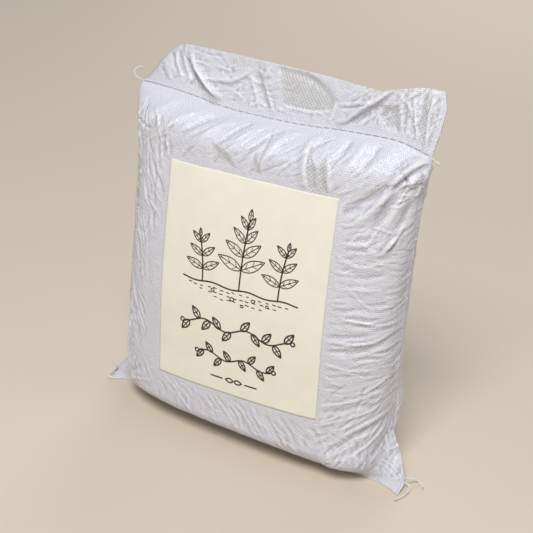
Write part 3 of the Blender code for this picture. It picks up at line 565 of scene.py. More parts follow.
@dataclass(frozen=True)
class SackForm:
    """The smooth form of the filled sack: its body, pinched neck and leaning collar.

    Lengths are in metres. Stations and edges are shares: of the seam's height and half the width on the body, and
    of the collar's height and half the body's width on the collar.
    """

    width: float = 0.31
    depth: float = 0.122
    seam_height: float = 0.36
    squareness: float = 3.0
    base_depth: float = 0.036
    neck_thickness: float = 0.0034
    crease_height: float = 0.0016
    crease_reach: float = 0.007
    seam_width_share: float = 1.035
    collar_height: float = 0.047
    collar_right_rise: float = 0.011
    collar_lean: float = math.radians(18)
    collar_wall: float = 0.0014
    collar_mouth: float = 0.008
    neck_height: float = 0.006
    body_shift: float = 0.005
    base_twist: float = 0.006
    base_twist_height: float = 0.062
    seam_sag: float = 0.008
    ear_lengths: tuple[float, float] = (0.039, 0.042)
    ear_swings: tuple[float, float] = (-0.015, -0.0215)
    ear_heights: tuple[float, float] = (0.047, 0.07)
    ear_roots: tuple[float, float] = (0.013, 0.02)
    ear_sharpness: tuple[float, float] = (1.35, 1.75)
    stations: tuple = (
        (0.0, 0.916, None, 0.0),
        (0.031, 0.985, 0.6, 0.0),
        (0.091, 1.0, 1.02, 1.0),
        (0.26, 1.0, 0.98, 0.8),
        (0.47, 0.994, 0.9, 0.2),
        (0.675, 0.993, 0.77, 0.2),
        (0.831, 1.006, 0.61, 0.0),
        (0.922, 1.022, 0.46, -0.6),
        (0.974, 1.05, 0.225, 0.0),
        (1.0, 1.035, None, 0.0),
    )
    seam_line: Points = (
        (-1.0, 0.12), (-0.65, -0.38), (-0.3, -1.0), (0.1, -0.75), (0.45, 0.0), (0.75, 0.38), (1.0, -0.5),
    )
    collar_edge: Points = (
        (-1.0, 0.3), (-0.88, 0.76), (-0.74, 0.98), (-0.4, 1.0), (0.2, 1.0), (0.5, 0.97), (0.62, 0.96),
        (0.75, 1.0), (1.0, 1.0),
    )
    collar_left: Points = ((0.0, -1.035), (0.3, -0.995), (0.6, -0.96), (0.85, -0.915), (1.0, -0.86))
    collar_right: Points = ((0.0, 1.035), (0.35, 1.055), (0.7, 1.06), (1.0, 1.025))

    @property
    def half_width(self) -> float:
        """Half of the body's width."""
        return self.width / 2

    def width_at(self, t: np.ndarray) -> np.ndarray:
        """Returns half the body's width at height share t."""
        return smooth_curve([(s[0], s[1] * self.half_width) for s in self.stations])(t)

    def depth_at(self, t: np.ndarray) -> np.ndarray:
        """Returns half the body's depth at height share t."""
        inner = [(s[0], s[2] * self.depth / 2) for s in self.stations[1:-1]]
        return smooth_curve([(0.0, self.base_depth / 2), *inner, (1.0, self.neck_thickness / 2)])(t)

    def middle_at(self, t: np.ndarray) -> np.ndarray:
        """Returns how far the section's middle stands behind the origin at height share t."""
        return smooth_curve([(s[0], s[3] * self.body_shift) for s in self.stations])(t)

    def front_y(self, x: np.ndarray, z: np.ndarray) -> np.ndarray:
        """Returns y of the smooth front of the body."""
        t = z / self.seam_height
        share = np.clip(np.abs(x) / self.width_at(t), 0, 1)
        bulge = (1 - share ** self.squareness) ** (1 / self.squareness)
        return self.middle_at(t) - self.depth_at(t) * bulge

    def section(self, t: float, facing: int, columns: int) -> np.ndarray:
        """Returns the points of one panel at height share t, evenly spaced from its left to its right crease.

        Args:
            t: share of the seam's height.
            facing: -1 for the front panel, 1 for the back.
            columns: the number of intervals.

        Returns:
            The points as rows of x, y, z.
        """
        z = t * self.seam_height
        angle = np.linspace(math.pi, 0, 1201)
        power = 2 / self.squareness
        x = np.sign(np.cos(angle)) * np.abs(np.cos(angle)) ** power * self.width_at(t)
        off = np.sin(angle) ** power * self.depth_at(t)
        crease = np.clip(1 - off / self.crease_reach, 0, 1) ** 2 * self.crease_height * smooth_step((1 - t) * 6)
        left = x < 0
        share = np.clip(1 - z / np.where(left, *self.ear_heights), 0, 1) ** np.where(left, *self.ear_sharpness)
        root = np.clip(1 - off / np.where(left, *self.ear_roots), 0, 1) ** 2 * share
        x += np.where(left, -1, 1) * (crease + np.where(left, *self.ear_lengths) * root)
        twist = self.base_twist * np.clip(x / self.half_width, -1, 1)
        twist *= np.clip(1 - z / self.base_twist_height, 0, 1) ** 2
        y = self.middle_at(t) + facing * off + np.where(left, *self.ear_swings) * root ** 2 * share - twist
        length = np.concatenate([[0], np.cumsum(np.hypot(np.diff(x), np.diff(off)))])
        even = np.linspace(0, length[-1], columns + 1)
        return np.stack([np.interp(even, length, x), np.interp(even, length, y), np.full_like(even, z)], axis=-1)

    def seam_lift(self, x_share: np.ndarray) -> np.ndarray:
        """Returns how far the seam lies above its height at shares of its half length."""
        return self.seam_sag * smooth_curve(self.seam_line)(x_share)

    def collar_place(self, x_share: np.ndarray, rise_share: float) -> tuple[np.ndarray, np.ndarray]:
        """Returns x and the rise above the seam at shares along and up the collar."""
        left = smooth_curve(self.collar_left)(rise_share)
        right = smooth_curve(self.collar_right)(rise_share)
        x = self.half_width * (left + (right - left) * (x_share + 1) / 2)
        along = x / self.half_width
        extra = self.collar_right_rise * smooth_step((along - 0.62) / 0.34)
        rim = self.collar_height * smooth_curve(self.collar_edge)(along) + extra
        return x, rise_share * (rim - self.seam_lift(x_share))

    def collar_point(self, x_share: np.ndarray, rise_share: float, off: np.ndarray) -> np.ndarray:
        """Returns points of the collar's middle surface, moved by off towards its back."""
        x, rise = self.collar_place(x_share, rise_share)
        lean = self.collar_lean
        y = self.middle_at(np.array(1.0)) + rise * math.sin(lean) + off * math.cos(lean)
        z = self.seam_height + self.seam_lift(x_share) + rise * math.cos(lean) - off * math.sin(lean)
        return np.stack([x, y, z], axis=-1)

    def collar_half(self, x_share: np.ndarray, rise_share: float) -> np.ndarray:
        """Returns half of the collar's thickness over both layers."""
        inner = smooth_step((1 - np.abs(x_share)) * 3)
        above = smooth_step(1.2 * (rise_share - self.neck_height / self.collar_height))
        return self.neck_thickness / 2 + (self.collar_mouth - self.neck_thickness) / 2 * inner * above


@dataclass(frozen=True)
class LabelPlace:
    """Where the paper label lies on the front panel."""

    width: float = 0.188
    height: float = 0.235
    thickness: float = 0.0003
    centre: tuple[float, float] = (-0.002, 0.1857)
    turn: float = math.radians(2.1)

    def place(self, across: np.ndarray, up: np.ndarray) -> tuple[np.ndarray, np.ndarray]:
        """Returns x and z of a point given from the label's centre."""
        cos, sin = math.cos(self.turn), math.sin(self.turn)
        return self.centre[0] + across * cos - up * sin, self.centre[1] + up * cos + across * sin

    def outside(self, x: np.ndarray, z: np.ndarray, margin: float, soft: float) -> np.ndarray:
        """Rises from 0 on the label to 1 at soft beyond margin outside it."""
        cos, sin = math.cos(self.turn), math.sin(self.turn)
        dx, dz = x - self.centre[0], z - self.centre[1]
        side = np.maximum(np.abs(dx * cos + dz * sin) - self.width / 2 - margin, 0)
        end = np.maximum(np.abs(dz * cos - dx * sin) - self.height / 2 - margin, 0)
        return smooth_step(np.hypot(side, end) / soft)


def add_piece(name: str, points: np.ndarray, faces: Sequence, material: bpy.types.Material) -> bpy.types.Object:
    """Makes a smooth shaded mesh object.

    Args:
        name: the piece's name.
        points: its points as rows.
        faces: for each face the indices of its points, counter-clockwise from outside.
        material: its finish.

    Returns:
        The new object, linked to the scene.
    """
    mesh = bpy.data.meshes.new(name)
    mesh.from_pydata(np.asarray(points).tolist(), [], [tuple(map(int, face)) for face in faces])
    mesh.materials.append(material)
    mesh.shade_smooth()
    mesh.validate()
    item = bpy.data.objects.new(name, mesh)
    bpy.context.scene.collection.objects.link(item)
    return item


def hand_over(piece: bpy.types.Object, slot: Slot, *nodes: str) -> bpy.types.Object:
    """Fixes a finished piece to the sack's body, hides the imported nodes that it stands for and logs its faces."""
    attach(piece, "root")
    if nodes:
        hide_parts(*nodes)
    LOG.info("%s: %d faces", piece.name, len(piece.data.polygons))
    return piece


def lathe_ring(points: np.ndarray, radii: np.ndarray, sides: int) -> tuple[np.ndarray, list]:
    """Sweeps a round section along points.

    Args:
        points: the centres of the rings, as rows.
        radii: the radius at each point.
        sides: the number of sides.

    Returns:
        The points and faces of a closed tube.
    """
    tangent = np.gradient(points, axis=0)
    tangent /= np.linalg.norm(tangent, axis=1, keepdims=True)
    normal = np.cross(tangent[0], (0.0, 0.0, 1.0) if abs(tangent[0][2]) < 0.8 else (1.0, 0.0, 0.0))
    rings = []
    for place, along, radius in zip(points, tangent, radii):
        normal = normal - along * normal.dot(along)
        normal /= np.linalg.norm(normal)
        side = np.cross(along, normal)
        angle = 2 * math.pi * np.arange(sides)[:, None] / sides
        rings.append(place + radius * (np.cos(angle) * normal + np.sin(angle) * side))
    faces = []
    for k in range(len(points) - 1):
        for i in range(sides):
            j = (i + 1) % sides
            low, high = k * sides, (k + 1) * sides
            faces.append((low + i, low + j, high + j, high + i))
    faces.append(tuple(range(sides))[::-1])
    faces.append(tuple(range((len(points) - 1) * sides, len(points) * sides)))
    return np.concatenate(rings), faces


def join_parts(parts: Sequence[tuple[np.ndarray, list]]) -> tuple[np.ndarray, list]:
    """Joins several bodies' points and faces into one mesh's."""
    points, faces, start = [], [], 0
    for some_points, some_faces in parts:
        points.append(some_points)
        faces += [tuple(start + i for i in face) for face in some_faces]
        start += len(some_points)
    return np.concatenate(points), faces


class NodeMaker:
    """Adds and links the nodes of one tree."""

    def __init__(self, tree: bpy.types.NodeTree) -> None:
        """Remembers the tree."""
        self.tree = tree

    def add(self, kind: str, **settings: object) -> bpy.types.Node:
        """Adds a node and sets its properties."""
        node = self.tree.nodes.new(kind)
        for name, value in settings.items():
            setattr(node, name, value)
        return node

    def link(self, source: bpy.types.NodeSocket, target: bpy.types.NodeSocket) -> None:
        """Links two sockets."""
        self.tree.links.new(source, target)

    def feed(self, value: object, target: bpy.types.NodeSocket) -> None:
        """Links a socket, or writes a constant, into a socket."""
        if isinstance(value, bpy.types.NodeSocket):
            self.link(value, target)
        else:
            target.default_value = value

    def math(self, operation: str, *values: object) -> bpy.types.NodeSocket:
        """Adds a Math node and returns its output."""
        node = self.add("ShaderNodeMath", operation=operation)
        for value, socket in zip(values, node.inputs):
            self.feed(value, socket)
        return node.outputs[0]

    def mix(self, factor: object, low: object, high: object) -> bpy.types.NodeSocket:
        """Mixes two numbers by a factor."""
        node = self.add("ShaderNodeMix", data_type="FLOAT")
        for value, name in ((factor, 0), (low, 2), (high, 3)):
            self.feed(value, node.inputs[name])
        return node.outputs[0]

    def blend(self, factor: object, low: object, high: object, mode: str = "MIX") -> bpy.types.NodeSocket:
        """Mixes two colours by a factor."""
        node = self.add("ShaderNodeMix", data_type="RGBA", blend_type=mode)
        for value, index in ((factor, 0), (low, 6), (high, 7)):
            self.feed(value, node.inputs[index])
        return node.outputs[2]

    def ramp(self, value: object, low: float, high: float, start: float = 0.0,
             end: float = 1.0) -> bpy.types.NodeSocket:
        """Maps a value from low..high to start..end, clamped."""
        node = self.add("ShaderNodeMapRange", interpolation_type="SMOOTHSTEP")
        names = ("Value", "From Min", "From Max", "To Min", "To Max")
        for item, name in zip((value, low, high, start, end), names):
            self.feed(item, node.inputs[name])
        return node.outputs[0]

    def noise(self, vector: object, scale: float, detail: float = 2.0, roughness: float = 0.5) -> bpy.types.NodeSocket:
        """Adds a Noise Texture and returns its value, centred on 0.5."""
        node = self.add("ShaderNodeTexNoise")
        self.feed(vector, node.inputs["Vector"])
        node.inputs["Scale"].default_value = scale
        node.inputs["Detail"].default_value = detail
        node.inputs["Roughness"].default_value = roughness
        return node.outputs[0]

    def attribute(self, name: str) -> bpy.types.NodeSocket:
        """Reads a number that the mesh stores at its points."""
        return self.add("ShaderNodeAttribute", attribute_type="GEOMETRY", attribute_name=name).outputs["Fac"]

    def group(self, tree: bpy.types.NodeTree, **values: object) -> bpy.types.Node:
        """Places a node group with its input values."""
        node = self.add("ShaderNodeGroup", node_tree=tree)
        for name, value in values.items():
            self.feed(value, node.inputs[name.replace("_", " ").title()])
        return node

    def bump(self, height: object, distance: float, strength: float, normal: object = None) -> bpy.types.NodeSocket:
        """Adds a Bump node and returns its normal."""
        node = self.add("ShaderNodeBump")
        self.feed(height, node.inputs["Height"])
        node.inputs["Distance"].default_value = distance
        node.inputs["Strength"].default_value = strength
        if normal is not None:
            self.link(normal, node.inputs["Normal"])
        return node.outputs[0]


def new_group(name: str, inputs: Sequence[tuple[str, str, object]], outputs: Sequence[tuple[str, str]]) -> NodeMaker:
    """Makes an empty shader node group with named sockets.

    Args:
        name: the group's name.
        inputs: for each input its name, socket type and default value or None.
        outputs: for each output its name and socket type.

    Returns:
        A maker for the group's nodes, with its group input and output nodes named "in" and "out".
    """
    tree = bpy.data.node_groups.new(name, "ShaderNodeTree")
    for label, kind, value in inputs:
        socket = tree.interface.new_socket(label, in_out="INPUT", socket_type=kind)
        if value is not None:
            socket.default_value = value
    for label, kind in outputs:
        tree.interface.new_socket(label, in_out="OUTPUT", socket_type=kind)
    maker = NodeMaker(tree)
    maker.add("NodeGroupInput", name="in")
    maker.add("NodeGroupOutput", name="out")
    return maker


def weave_group() -> bpy.types.NodeTree:
    """Makes the plain weave of flat tapes.

    Returns:
        A group with the inputs Vector (metres on the cloth) and Tape Width, and the outputs Height, Gap, which is 1
        between two tapes, and Upright, which is 1 where an upright tape lies on top.
    """
    maker = new_group(
        "flat_tape_weave",
        (("Vector", "NodeSocketVector", None), ("Tape Width", "NodeSocketFloat", 0.0025)),
        (("Height", "NodeSocketFloat"), ("Gap", "NodeSocketFloat"), ("Upright", "NodeSocketFloat")),
    )
    source, target = maker.tree.nodes["in"], maker.tree.nodes["out"]
    parts = maker.add("ShaderNodeSeparateXYZ")
    maker.link(source.outputs["Vector"], parts.inputs[0])
    tape = source.outputs["Tape Width"]
    across, up = (maker.math("DIVIDE", parts.outputs[k], tape) for k in (0, 1))
    cells = maker.math("ADD", maker.math("FLOOR", across), maker.math("FLOOR", up))
    upright = maker.math("FLOORED_MODULO", cells, 2.0)
    crowns = []
    for place in (across, up):
        share = maker.math("FRACT", place)
        crowns.append(maker.math("POWER", maker.math("SINE", maker.math("MULTIPLY", share, math.pi)), 0.45))
    over_up = maker.math("MULTIPLY", crowns[0], maker.mix(crowns[1], 0.55, 1.0))
    over_level = maker.math("MULTIPLY", crowns[1], maker.mix(crowns[0], 0.55, 1.0))
    height = maker.mix(upright, over_level, over_up)
    maker.link(height, target.inputs["Height"])
    maker.link(maker.ramp(height, 0.15, 0.6, 1.0, 0.0), target.inputs["Gap"])
    maker.link(upright, target.inputs["Upright"])
    return maker.tree


def crinkle_group() -> bpy.types.NodeTree:
    """Makes the fine crinkles of thin film.

    Returns:
        A group with the inputs Vector and Scale (crinkles per metre) and the output Height.
    """
    maker = new_group(
        "film_crinkle",
        (("Vector", "NodeSocketVector", None), ("Scale", "NodeSocketFloat", 110.0)),
        (("Height", "NodeSocketFloat"),),
    )
    source, target = maker.tree.nodes["in"], maker.tree.nodes["out"]
    scaled = maker.add("ShaderNodeVectorMath", operation="SCALE")
    maker.link(source.outputs["Vector"], scaled.inputs[0])
    maker.link(source.outputs["Scale"], scaled.inputs["Scale"])
    total = None
    for scale, weight in ((1.0, 2.4), (2.3, 1.2), (4.9, 0.5)):
        wave = maker.noise(scaled.outputs[0], scale, 1.0)
        crest = maker.math("ABSOLUTE", maker.math("SUBTRACT", wave, 0.5))
        share = maker.math("MULTIPLY", crest, -weight)
        total = share if total is None else maker.math("ADD", total, share)
    maker.link(total, target.inputs["Height"])
    return maker.tree


def fibre_group() -> bpy.types.NodeTree:
    """Makes the fibre cloud of paper and thread.

    Returns:
        A group with the inputs Vector and Scale and the outputs Cloud and Fibre.
    """
    maker = new_group(
        "fibre_cloud",
        (("Vector", "NodeSocketVector", None), ("Scale", "NodeSocketFloat", 900.0)),
        (("Cloud", "NodeSocketFloat"), ("Fibre", "NodeSocketFloat")),
    )
    source, target = maker.tree.nodes["in"], maker.tree.nodes["out"]
    scaled = maker.add("ShaderNodeVectorMath", operation="SCALE")
    maker.link(source.outputs["Vector"], scaled.inputs[0])
    maker.link(source.outputs["Scale"], scaled.inputs["Scale"])
    maker.link(maker.noise(scaled.outputs[0], 0.045, 3.0), target.inputs["Cloud"])
    maker.link(maker.noise(scaled.outputs[0], 1.0, 4.0, 0.65), target.inputs["Fibre"])
    return maker.tree


class SharedPatterns:
    """The node groups that several finishes use."""

    def __init__(self) -> None:
        """Builds each group once."""
        self.weave = weave_group()
        self.crinkle = crinkle_group()
        self.fibre = fibre_group()


def new_material(name: str) -> tuple[bpy.types.Material, NodeMaker, bpy.types.Node]:
    """Makes a material with one Principled shader.

    Args:
        name: the material's name.

    Returns:
        The material, a maker for its nodes and the shader node.
    """
    material = bpy.data.materials.new(name)
    material.use_nodes = True
    return material, NodeMaker(material.node_tree), material.node_tree.nodes["Principled BSDF"]


@dataclass(frozen=True)
class WovenFilm:
    """White woven tapes under a thin glossy film."""

    name: str = "woven_film"
    film: tuple[float, float, float] = (0.75, 0.755, 0.84)
    # bare is the grey of the bare mask, mostly painted shade in valleys, under the collar's rim and at the left side
    # crease
    bare: tuple[float, float, float] = (0.5, 0.49, 0.475)
    # hollow is painted shade for the relief's hollows, and crest is a painted highlight for its crests
    hollow: tuple[float, float, float] = (0.4, 0.39, 0.43)
    crest: tuple[float, float, float] = (0.94, 0.94, 0.98)
    tape_width: float = 0.0021
    roughness: float = 0.34
    greyed_roughness: float = 0.52

    def build(self, patterns: SharedPatterns) -> bpy.types.Material:
        """Makes the material."""
        material, maker, shader = new_material(self.name)
        on_cloth = maker.add("ShaderNodeUVMap", uv_map="cloth").outputs[0]
        place = maker.add("ShaderNodeTexCoord").outputs["Object"]
        weave = maker.group(patterns.weave, vector=on_cloth, tape_width=self.tape_width)
        crinkle = maker.group(patterns.crinkle, vector=place, scale=130.0)
        # The bare mask greys and roughens the film. It holds painted shade along valleys, under the collar's rim and
        # at the left side crease, the greyed dent facets and faint random grey patches.
        greying = maker.attribute("bare")
        patches = maker.ramp(maker.noise(place, 22.0, 3.0, 0.6), 0.52, 0.72)
        bare = maker.math("MAXIMUM", greying, maker.math("MULTIPLY", patches, 0.2))
        # Painted shade in the relief's hollows and painted highlight on its crests, from the stored sharpness.
        relief = maker.attribute("ridge")
        colour = maker.blend(maker.ramp(relief, -1.0, -0.05, 0.6, 0.0), (*self.film, 1), (*self.hollow, 1))
        colour = maker.blend(maker.ramp(relief, 0.1, 1.0, 0.0, 0.8), colour, (*self.crest, 1))
        colour = maker.blend(maker.math("MULTIPLY", bare, 0.8), colour, (*self.bare, 1))
        shade = maker.math("MULTIPLY", weave.outputs["Gap"], maker.mix(bare, 0.16, 0.5))
        colour = maker.blend(shade, colour, (0.4, 0.4, 0.42, 1))
        # Painted highlight: the upright tapes that lie on top are painted lighter than the level ones.
        upright = maker.math("MULTIPLY", weave.outputs["Upright"], maker.mix(bare, 0.3, 0.5))
        colour = maker.blend(upright, colour, (0.93, 0.93, 0.97, 1))
        maker.link(colour, shader.inputs["Base Color"])
        gloss = maker.math("ADD", maker.noise(place, 60.0, 3.0), -0.5)
        rough = maker.mix(bare, self.roughness, self.greyed_roughness)
        maker.link(maker.math("ADD", rough, maker.math("MULTIPLY", gloss, 0.18)), shader.inputs["Roughness"])
        film_bump = maker.bump(crinkle.outputs["Height"], 0.0022, 0.3)
        weave_bump = maker.bump(weave.outputs["Height"], 0.0005, 0.9, film_bump)
        maker.link(weave_bump, shader.inputs["Normal"])
        shader.inputs["Coat Weight"].default_value = 0.38
        shader.inputs["Coat Roughness"].default_value = 0.22
        maker.link(film_bump, shader.inputs["Coat Normal"])
        return material


@dataclass(frozen=True)
class LabelPaper:
    """Uncoated cream paper."""

    name: str = "cream_paper"
    colour: tuple[float, float, float] = (0.92, 0.875, 0.76)

    def build(self, patterns: SharedPatterns) -> bpy.types.Material:
        """Makes the material."""
        material, maker, shader = new_material(self.name)
        place = maker.add("ShaderNodeTexCoord").outputs["Object"]
        fibre = maker.group(patterns.fibre, vector=place, scale=1100.0)
        darker = tuple(0.95 * part for part in self.colour)
        cloud = maker.ramp(fibre.outputs["Cloud"], 0.3, 0.7, 0.0, 0.6)
        colour = maker.blend(cloud, (*self.colour, 1), (*darker, 1))
        speck = maker.ramp(fibre.outputs["Fibre"], 0.62, 0.8, 0.0, 0.12)
        colour = maker.blend(speck, colour, (0.66, 0.56, 0.42, 1))
        maker.link(colour, shader.inputs["Base Color"])
        maker.link(maker.mix(fibre.outputs["Fibre"], 0.62, 0.82), shader.inputs["Roughness"])
        maker.link(maker.bump(fibre.outputs["Fibre"], 0.00005, 0.35), shader.inputs["Normal"])
        shader.inputs["Specular IOR Level"].default_value = 0.35
        return material


@dataclass(frozen=True)
class PrintInk:
    """Dark brown ink, printed slightly uneven."""

    name: str = "brown_ink"
    colour: tuple[float, float, float] = (0.06, 0.026, 0.019)

    def build(self, patterns: SharedPatterns) -> bpy.types.Material:
        """Makes the material."""
        material, maker, shader = new_material(self.name)
        place = maker.add("ShaderNodeTexCoord").outputs["Object"]
        fibre = maker.group(patterns.fibre, vector=place, scale=1400.0)
        pale = maker.ramp(fibre.outputs["Fibre"], 0.55, 0.8, 0.0, 0.5)
        colour = maker.blend(pale, (*self.colour, 1), (0.16, 0.085, 0.06, 1))
        maker.link(colour, shader.inputs["Base Color"])
        maker.link(maker.mix(fibre.outputs["Fibre"], 0.55, 0.75), shader.inputs["Roughness"])
        return material


@dataclass(frozen=True)
class SewingThread:
    """White spun thread."""

    name: str = "white_thread"
    colour: tuple[float, float, float] = (0.8, 0.79, 0.8)

    def build(self, patterns: SharedPatterns) -> bpy.types.Material:
        """Makes the material."""
        material, maker, shader = new_material(self.name)
        place = maker.add("ShaderNodeTexCoord").outputs["Object"]
        fibre = maker.group(patterns.fibre, vector=place, scale=4200.0)
        soiled = maker.ramp(fibre.outputs["Cloud"], 0.45, 0.75, 0.0, 0.4)
        colour = maker.blend(soiled, (*self.colour, 1), (0.56, 0.53, 0.5, 1))
        maker.link(colour, shader.inputs["Base Color"])
        maker.link(maker.mix(fibre.outputs["Fibre"], 0.6, 0.9), shader.inputs["Roughness"])
        maker.link(maker.bump(fibre.outputs["Fibre"], 0.0002, 0.6), shader.inputs["Normal"])
        shader.inputs["Sheen Weight"].default_value = 0.2
        return material


@dataclass
class Sack:
    """The cloth of the filled sack, from the floor to the rim of its collar and down into the collar's pocket.

    The rises, fades and margins are in metres and say where the relief fades out: at the floor, under the seam,
    above the neck and beside the label. The side fades are how steeply it does so at the side creases, per share of
    half the width.
    """

    form: SackForm
    label: LabelPlace
    columns: int = 300
    body_rows: int = 330
    collar_rows: int = 46
    pocket_rows: int = 16
    tube_width: float = 0.35
    fold_rise: float = 0.022
    fine_rise: float = 0.009
    seam_fade: float = 0.007
    neck_fade: float = 0.005
    label_margin: float = 0.0012
    label_fade: float = 0.006
    side_fade: float = 22.0
    collar_side_fade: float = 26.0
    collar_side_close: float = 24.0
    # the sharpness at which the painted shade and highlight are full
    full_ridge: float = 0.00045

    def body_heights(self) -> np.ndarray:
        """Returns the height shares of the body's rows, closer together at the floor and below the seam."""
        even = np.linspace(0, 1, self.body_rows + 1)
        return even - 0.055 * np.sin(2 * math.pi * even) - 0.012 * np.sin(4 * math.pi * even)

    def body_rings(self) -> np.ndarray:
        """Returns the rings of the smooth body, each from the left crease over the front and the back."""
        rings = []
        for t in self.body_heights():
            front = self.form.section(t, -1, self.columns)
            back = self.form.section(t, 1, self.columns)
            rings.append(np.concatenate([front, back[-2:0:-1]]))
        return np.array(rings)

    def ring_normals(self, rings: np.ndarray) -> np.ndarray:
        """Returns the outward unit normals of rings of points."""
        across = np.roll(rings, -1, axis=1) - np.roll(rings, 1, axis=1)
        up = np.gradient(rings, axis=0)
        normal = np.cross(across, up)
        return normal / np.maximum(np.linalg.norm(normal, axis=-1, keepdims=True), 1e-12)

    def arcs(self, rings: np.ndarray) -> dict[int, np.ndarray]:
        """Measures the way along the cloth from each side crease.

        Args:
            rings: the smooth body's rings.

        Returns:
            For the left (-1) and the right crease (1) the way at each point, positive over the front.
        """
        steps = np.linalg.norm(np.diff(rings[:, : self.columns + 1], axis=1), axis=-1)
        front = np.concatenate([np.zeros((len(rings), 1)), np.cumsum(steps, axis=1)], axis=1)
        full = front[:, -1:]
        back = front[:, -2:0:-1]
        return {
            -1: np.concatenate([front, -back], axis=1),
            1: np.concatenate([full - front, -(full - back)], axis=1),
        }

    def body_relief(self, rings: np.ndarray) -> np.ndarray:
        """Returns how far folds, streaks and crumples lift the body's cloth."""
        x, z = rings[..., 0], rings[..., 2]
        last = self.columns + 1
        folds = np.zeros_like(x)
        for fold in (*BODY_FOLDS, *DENTS):
            folds[:, :last] += fold.relief(x[:, :last], z[:, :last])
        for fold in BACK_FOLDS:
            folds[:, last:] += fold.relief(x[:, last:], z[:, last:])
        edge = 1 - np.abs(np.linspace(-1, 1, last))
        fade = smooth_step(np.concatenate([edge, edge[-2:0:-1]]) * self.side_fade)
        folds *= fade
        front_x = np.where(np.arange(x.shape[1]) < last, x, FAR_AWAY)
        beside_label = self.label.outside(front_x, z, self.label_margin, self.label_fade)
        folds *= beside_label
        arcs = self.arcs(rings)
        fine = sum(item.relief(arcs[item.side], z) for item in (*STREAKS, *CREASES))
        fine += RIGHT_CRUMPLE.relief(arcs[1], z) * window(arcs[1], -0.5, 0.2, 0.03)
        fine += LEFT_CRUMPLE.relief(arcs[-1], z) * window(arcs[-1], -0.1, 0.15, 0.03)
        fine *= beside_label
        folds *= smooth_step(z / self.fold_rise)
        fine *= smooth_step(z / self.fine_rise)
        return (folds + fine) * smooth_step((self.form.seam_height - z) / self.seam_fade)

    def collar_rings(self) -> tuple[np.ndarray, np.ndarray]:
        """Builds the collar's outer rings from the neck to the rim and its inner rings down into the pocket.

        Returns:
            The rings, and the lift of the folds at each of their points.
        """
        form = self.form
        x_share = np.linspace(-1, 1, self.columns + 1)
        rises = np.linspace(form.neck_height / form.collar_height, 1, self.collar_rows)
        levels = [(rise, 0.0) for rise in rises]
        levels += [(rise, form.collar_wall) for rise in rises[:-self.pocket_rows - 1:-1]]
        x, rise = (np.array(values) for values in zip(*(form.collar_place(x_share, share) for share, _ in levels)))
        kinds = (*COLLAR_FOLDS, *COLLAR_DENTS, *COLLAR_CREASES, *COLLAR_CRUMPLES)
        reliefs = sum(item.relief(x, rise) for item in kinds)
        edge = 1 - np.abs(x_share)
        reliefs *= smooth_step((rise - form.neck_height) / self.neck_fade) * smooth_step(edge * self.collar_side_fade)
        rings, lifts = [], []
        for (rise_share, wall), relief in zip(levels, reliefs):
            half = form.collar_half(x_share, rise_share) - wall
            half = half * smooth_step(edge * self.collar_side_close)
            panels = [form.collar_point(x_share, rise_share, facing * half - relief) for facing in (-1, 1)]
            if wall:
                for panel in panels:
                    panel[0, 0] += 1.5 * wall
                    panel[-1, 0] -= 1.5 * wall
            rings.append(np.concatenate([panels[0], panels[1][-2:0:-1]]))
            lifts.append(np.concatenate([relief, -relief[-2:0:-1]]))
        return np.array(rings), np.array(lifts)

    def build(self, material: bpy.types.Material) -> bpy.types.Object:
        """Makes the sack's mesh with its cloth coordinates, the relief sharpness that paints shade in hollows and
        highlight on crests, and the bare mask of painted shade and grey.
        """
        form = self.form
        body = self.body_rings()
        lift = self.body_relief(body)
        places = body.copy()
        body = body + self.ring_normals(body) * lift[..., None]
        rise = form.seam_lift(body[..., 0] / (form.half_width * form.seam_width_share))
        body[..., 2] += rise * smooth_step((body[..., 2] / form.seam_height - 0.85) / 0.15)
        collar, collar_lift = self.collar_rings()
        rings = np.concatenate([body, collar])
        faces = self.faces(len(rings))
        piece = add_piece("sack_cloth", rings.reshape(-1, 3), faces, material)
        ridge = self.sharpness(np.concatenate([lift, collar_lift]))
        ridge = np.clip(ridge / self.full_ridge, -1, 1)
        # Painted highlight along each side crease, and painted shade two columns in from it.
        for column, side in ((0, 1), (self.columns, -1)):
            ridge[: len(body), column] = 1.0
            ridge[: len(body), column + 2 * side] = -0.8
        self.store(piece, "ridge", ridge)
        self.store(piece, "bare", self.shade_and_grey_places(places))
        self.lay_cloth(piece, rings)
        return piece

    @staticmethod
    def sharpness(lift: np.ndarray, reach: int = 3) -> np.ndarray:
        """Returns how far each point stands over the mean of the points around it."""
        mean = np.zeros_like(lift)
        for shift in range(-reach, reach + 1):
            mean += np.roll(lift, shift, axis=1)
        rows = np.pad(mean, ((reach, reach), (0, 0)), mode="edge")
        total = sum(rows[shift : shift + len(lift)] for shift in range(2 * reach + 1))
        return lift - total / (2 * reach + 1) ** 2

    def faces(self, count: int) -> list:
        """Returns the faces between the rings and of the closed ends."""
        ring = 2 * self.columns
        faces = []
        for k in range(count - 1):
            for i in range(ring):
                j = (i + 1) % ring
                faces.append((k * ring + i, k * ring + j, (k + 1) * ring + j, (k + 1) * ring + i))
        for start, flip in ((0, True), ((count - 1) * ring, False)):
            for i in range(self.columns):
                front = [i, i + 1]
                back = [ring - i - 1 if i + 1 < self.columns else self.columns, ring - i if i else 0]
                corners = list(dict.fromkeys(front + back))
                corners = [start + k for k in corners]
                faces.append(tuple(corners[::-1] if flip else corners))
        return faces

    @staticmethod
    def store(piece: bpy.types.Object, name: str, values: np.ndarray) -> None:
        """Stores a number at each point of the mesh."""
        attribute = piece.data.attributes.new(name, "FLOAT", "POINT")
        attribute.data.foreach_set("value", values.astype(np.float32).ravel())

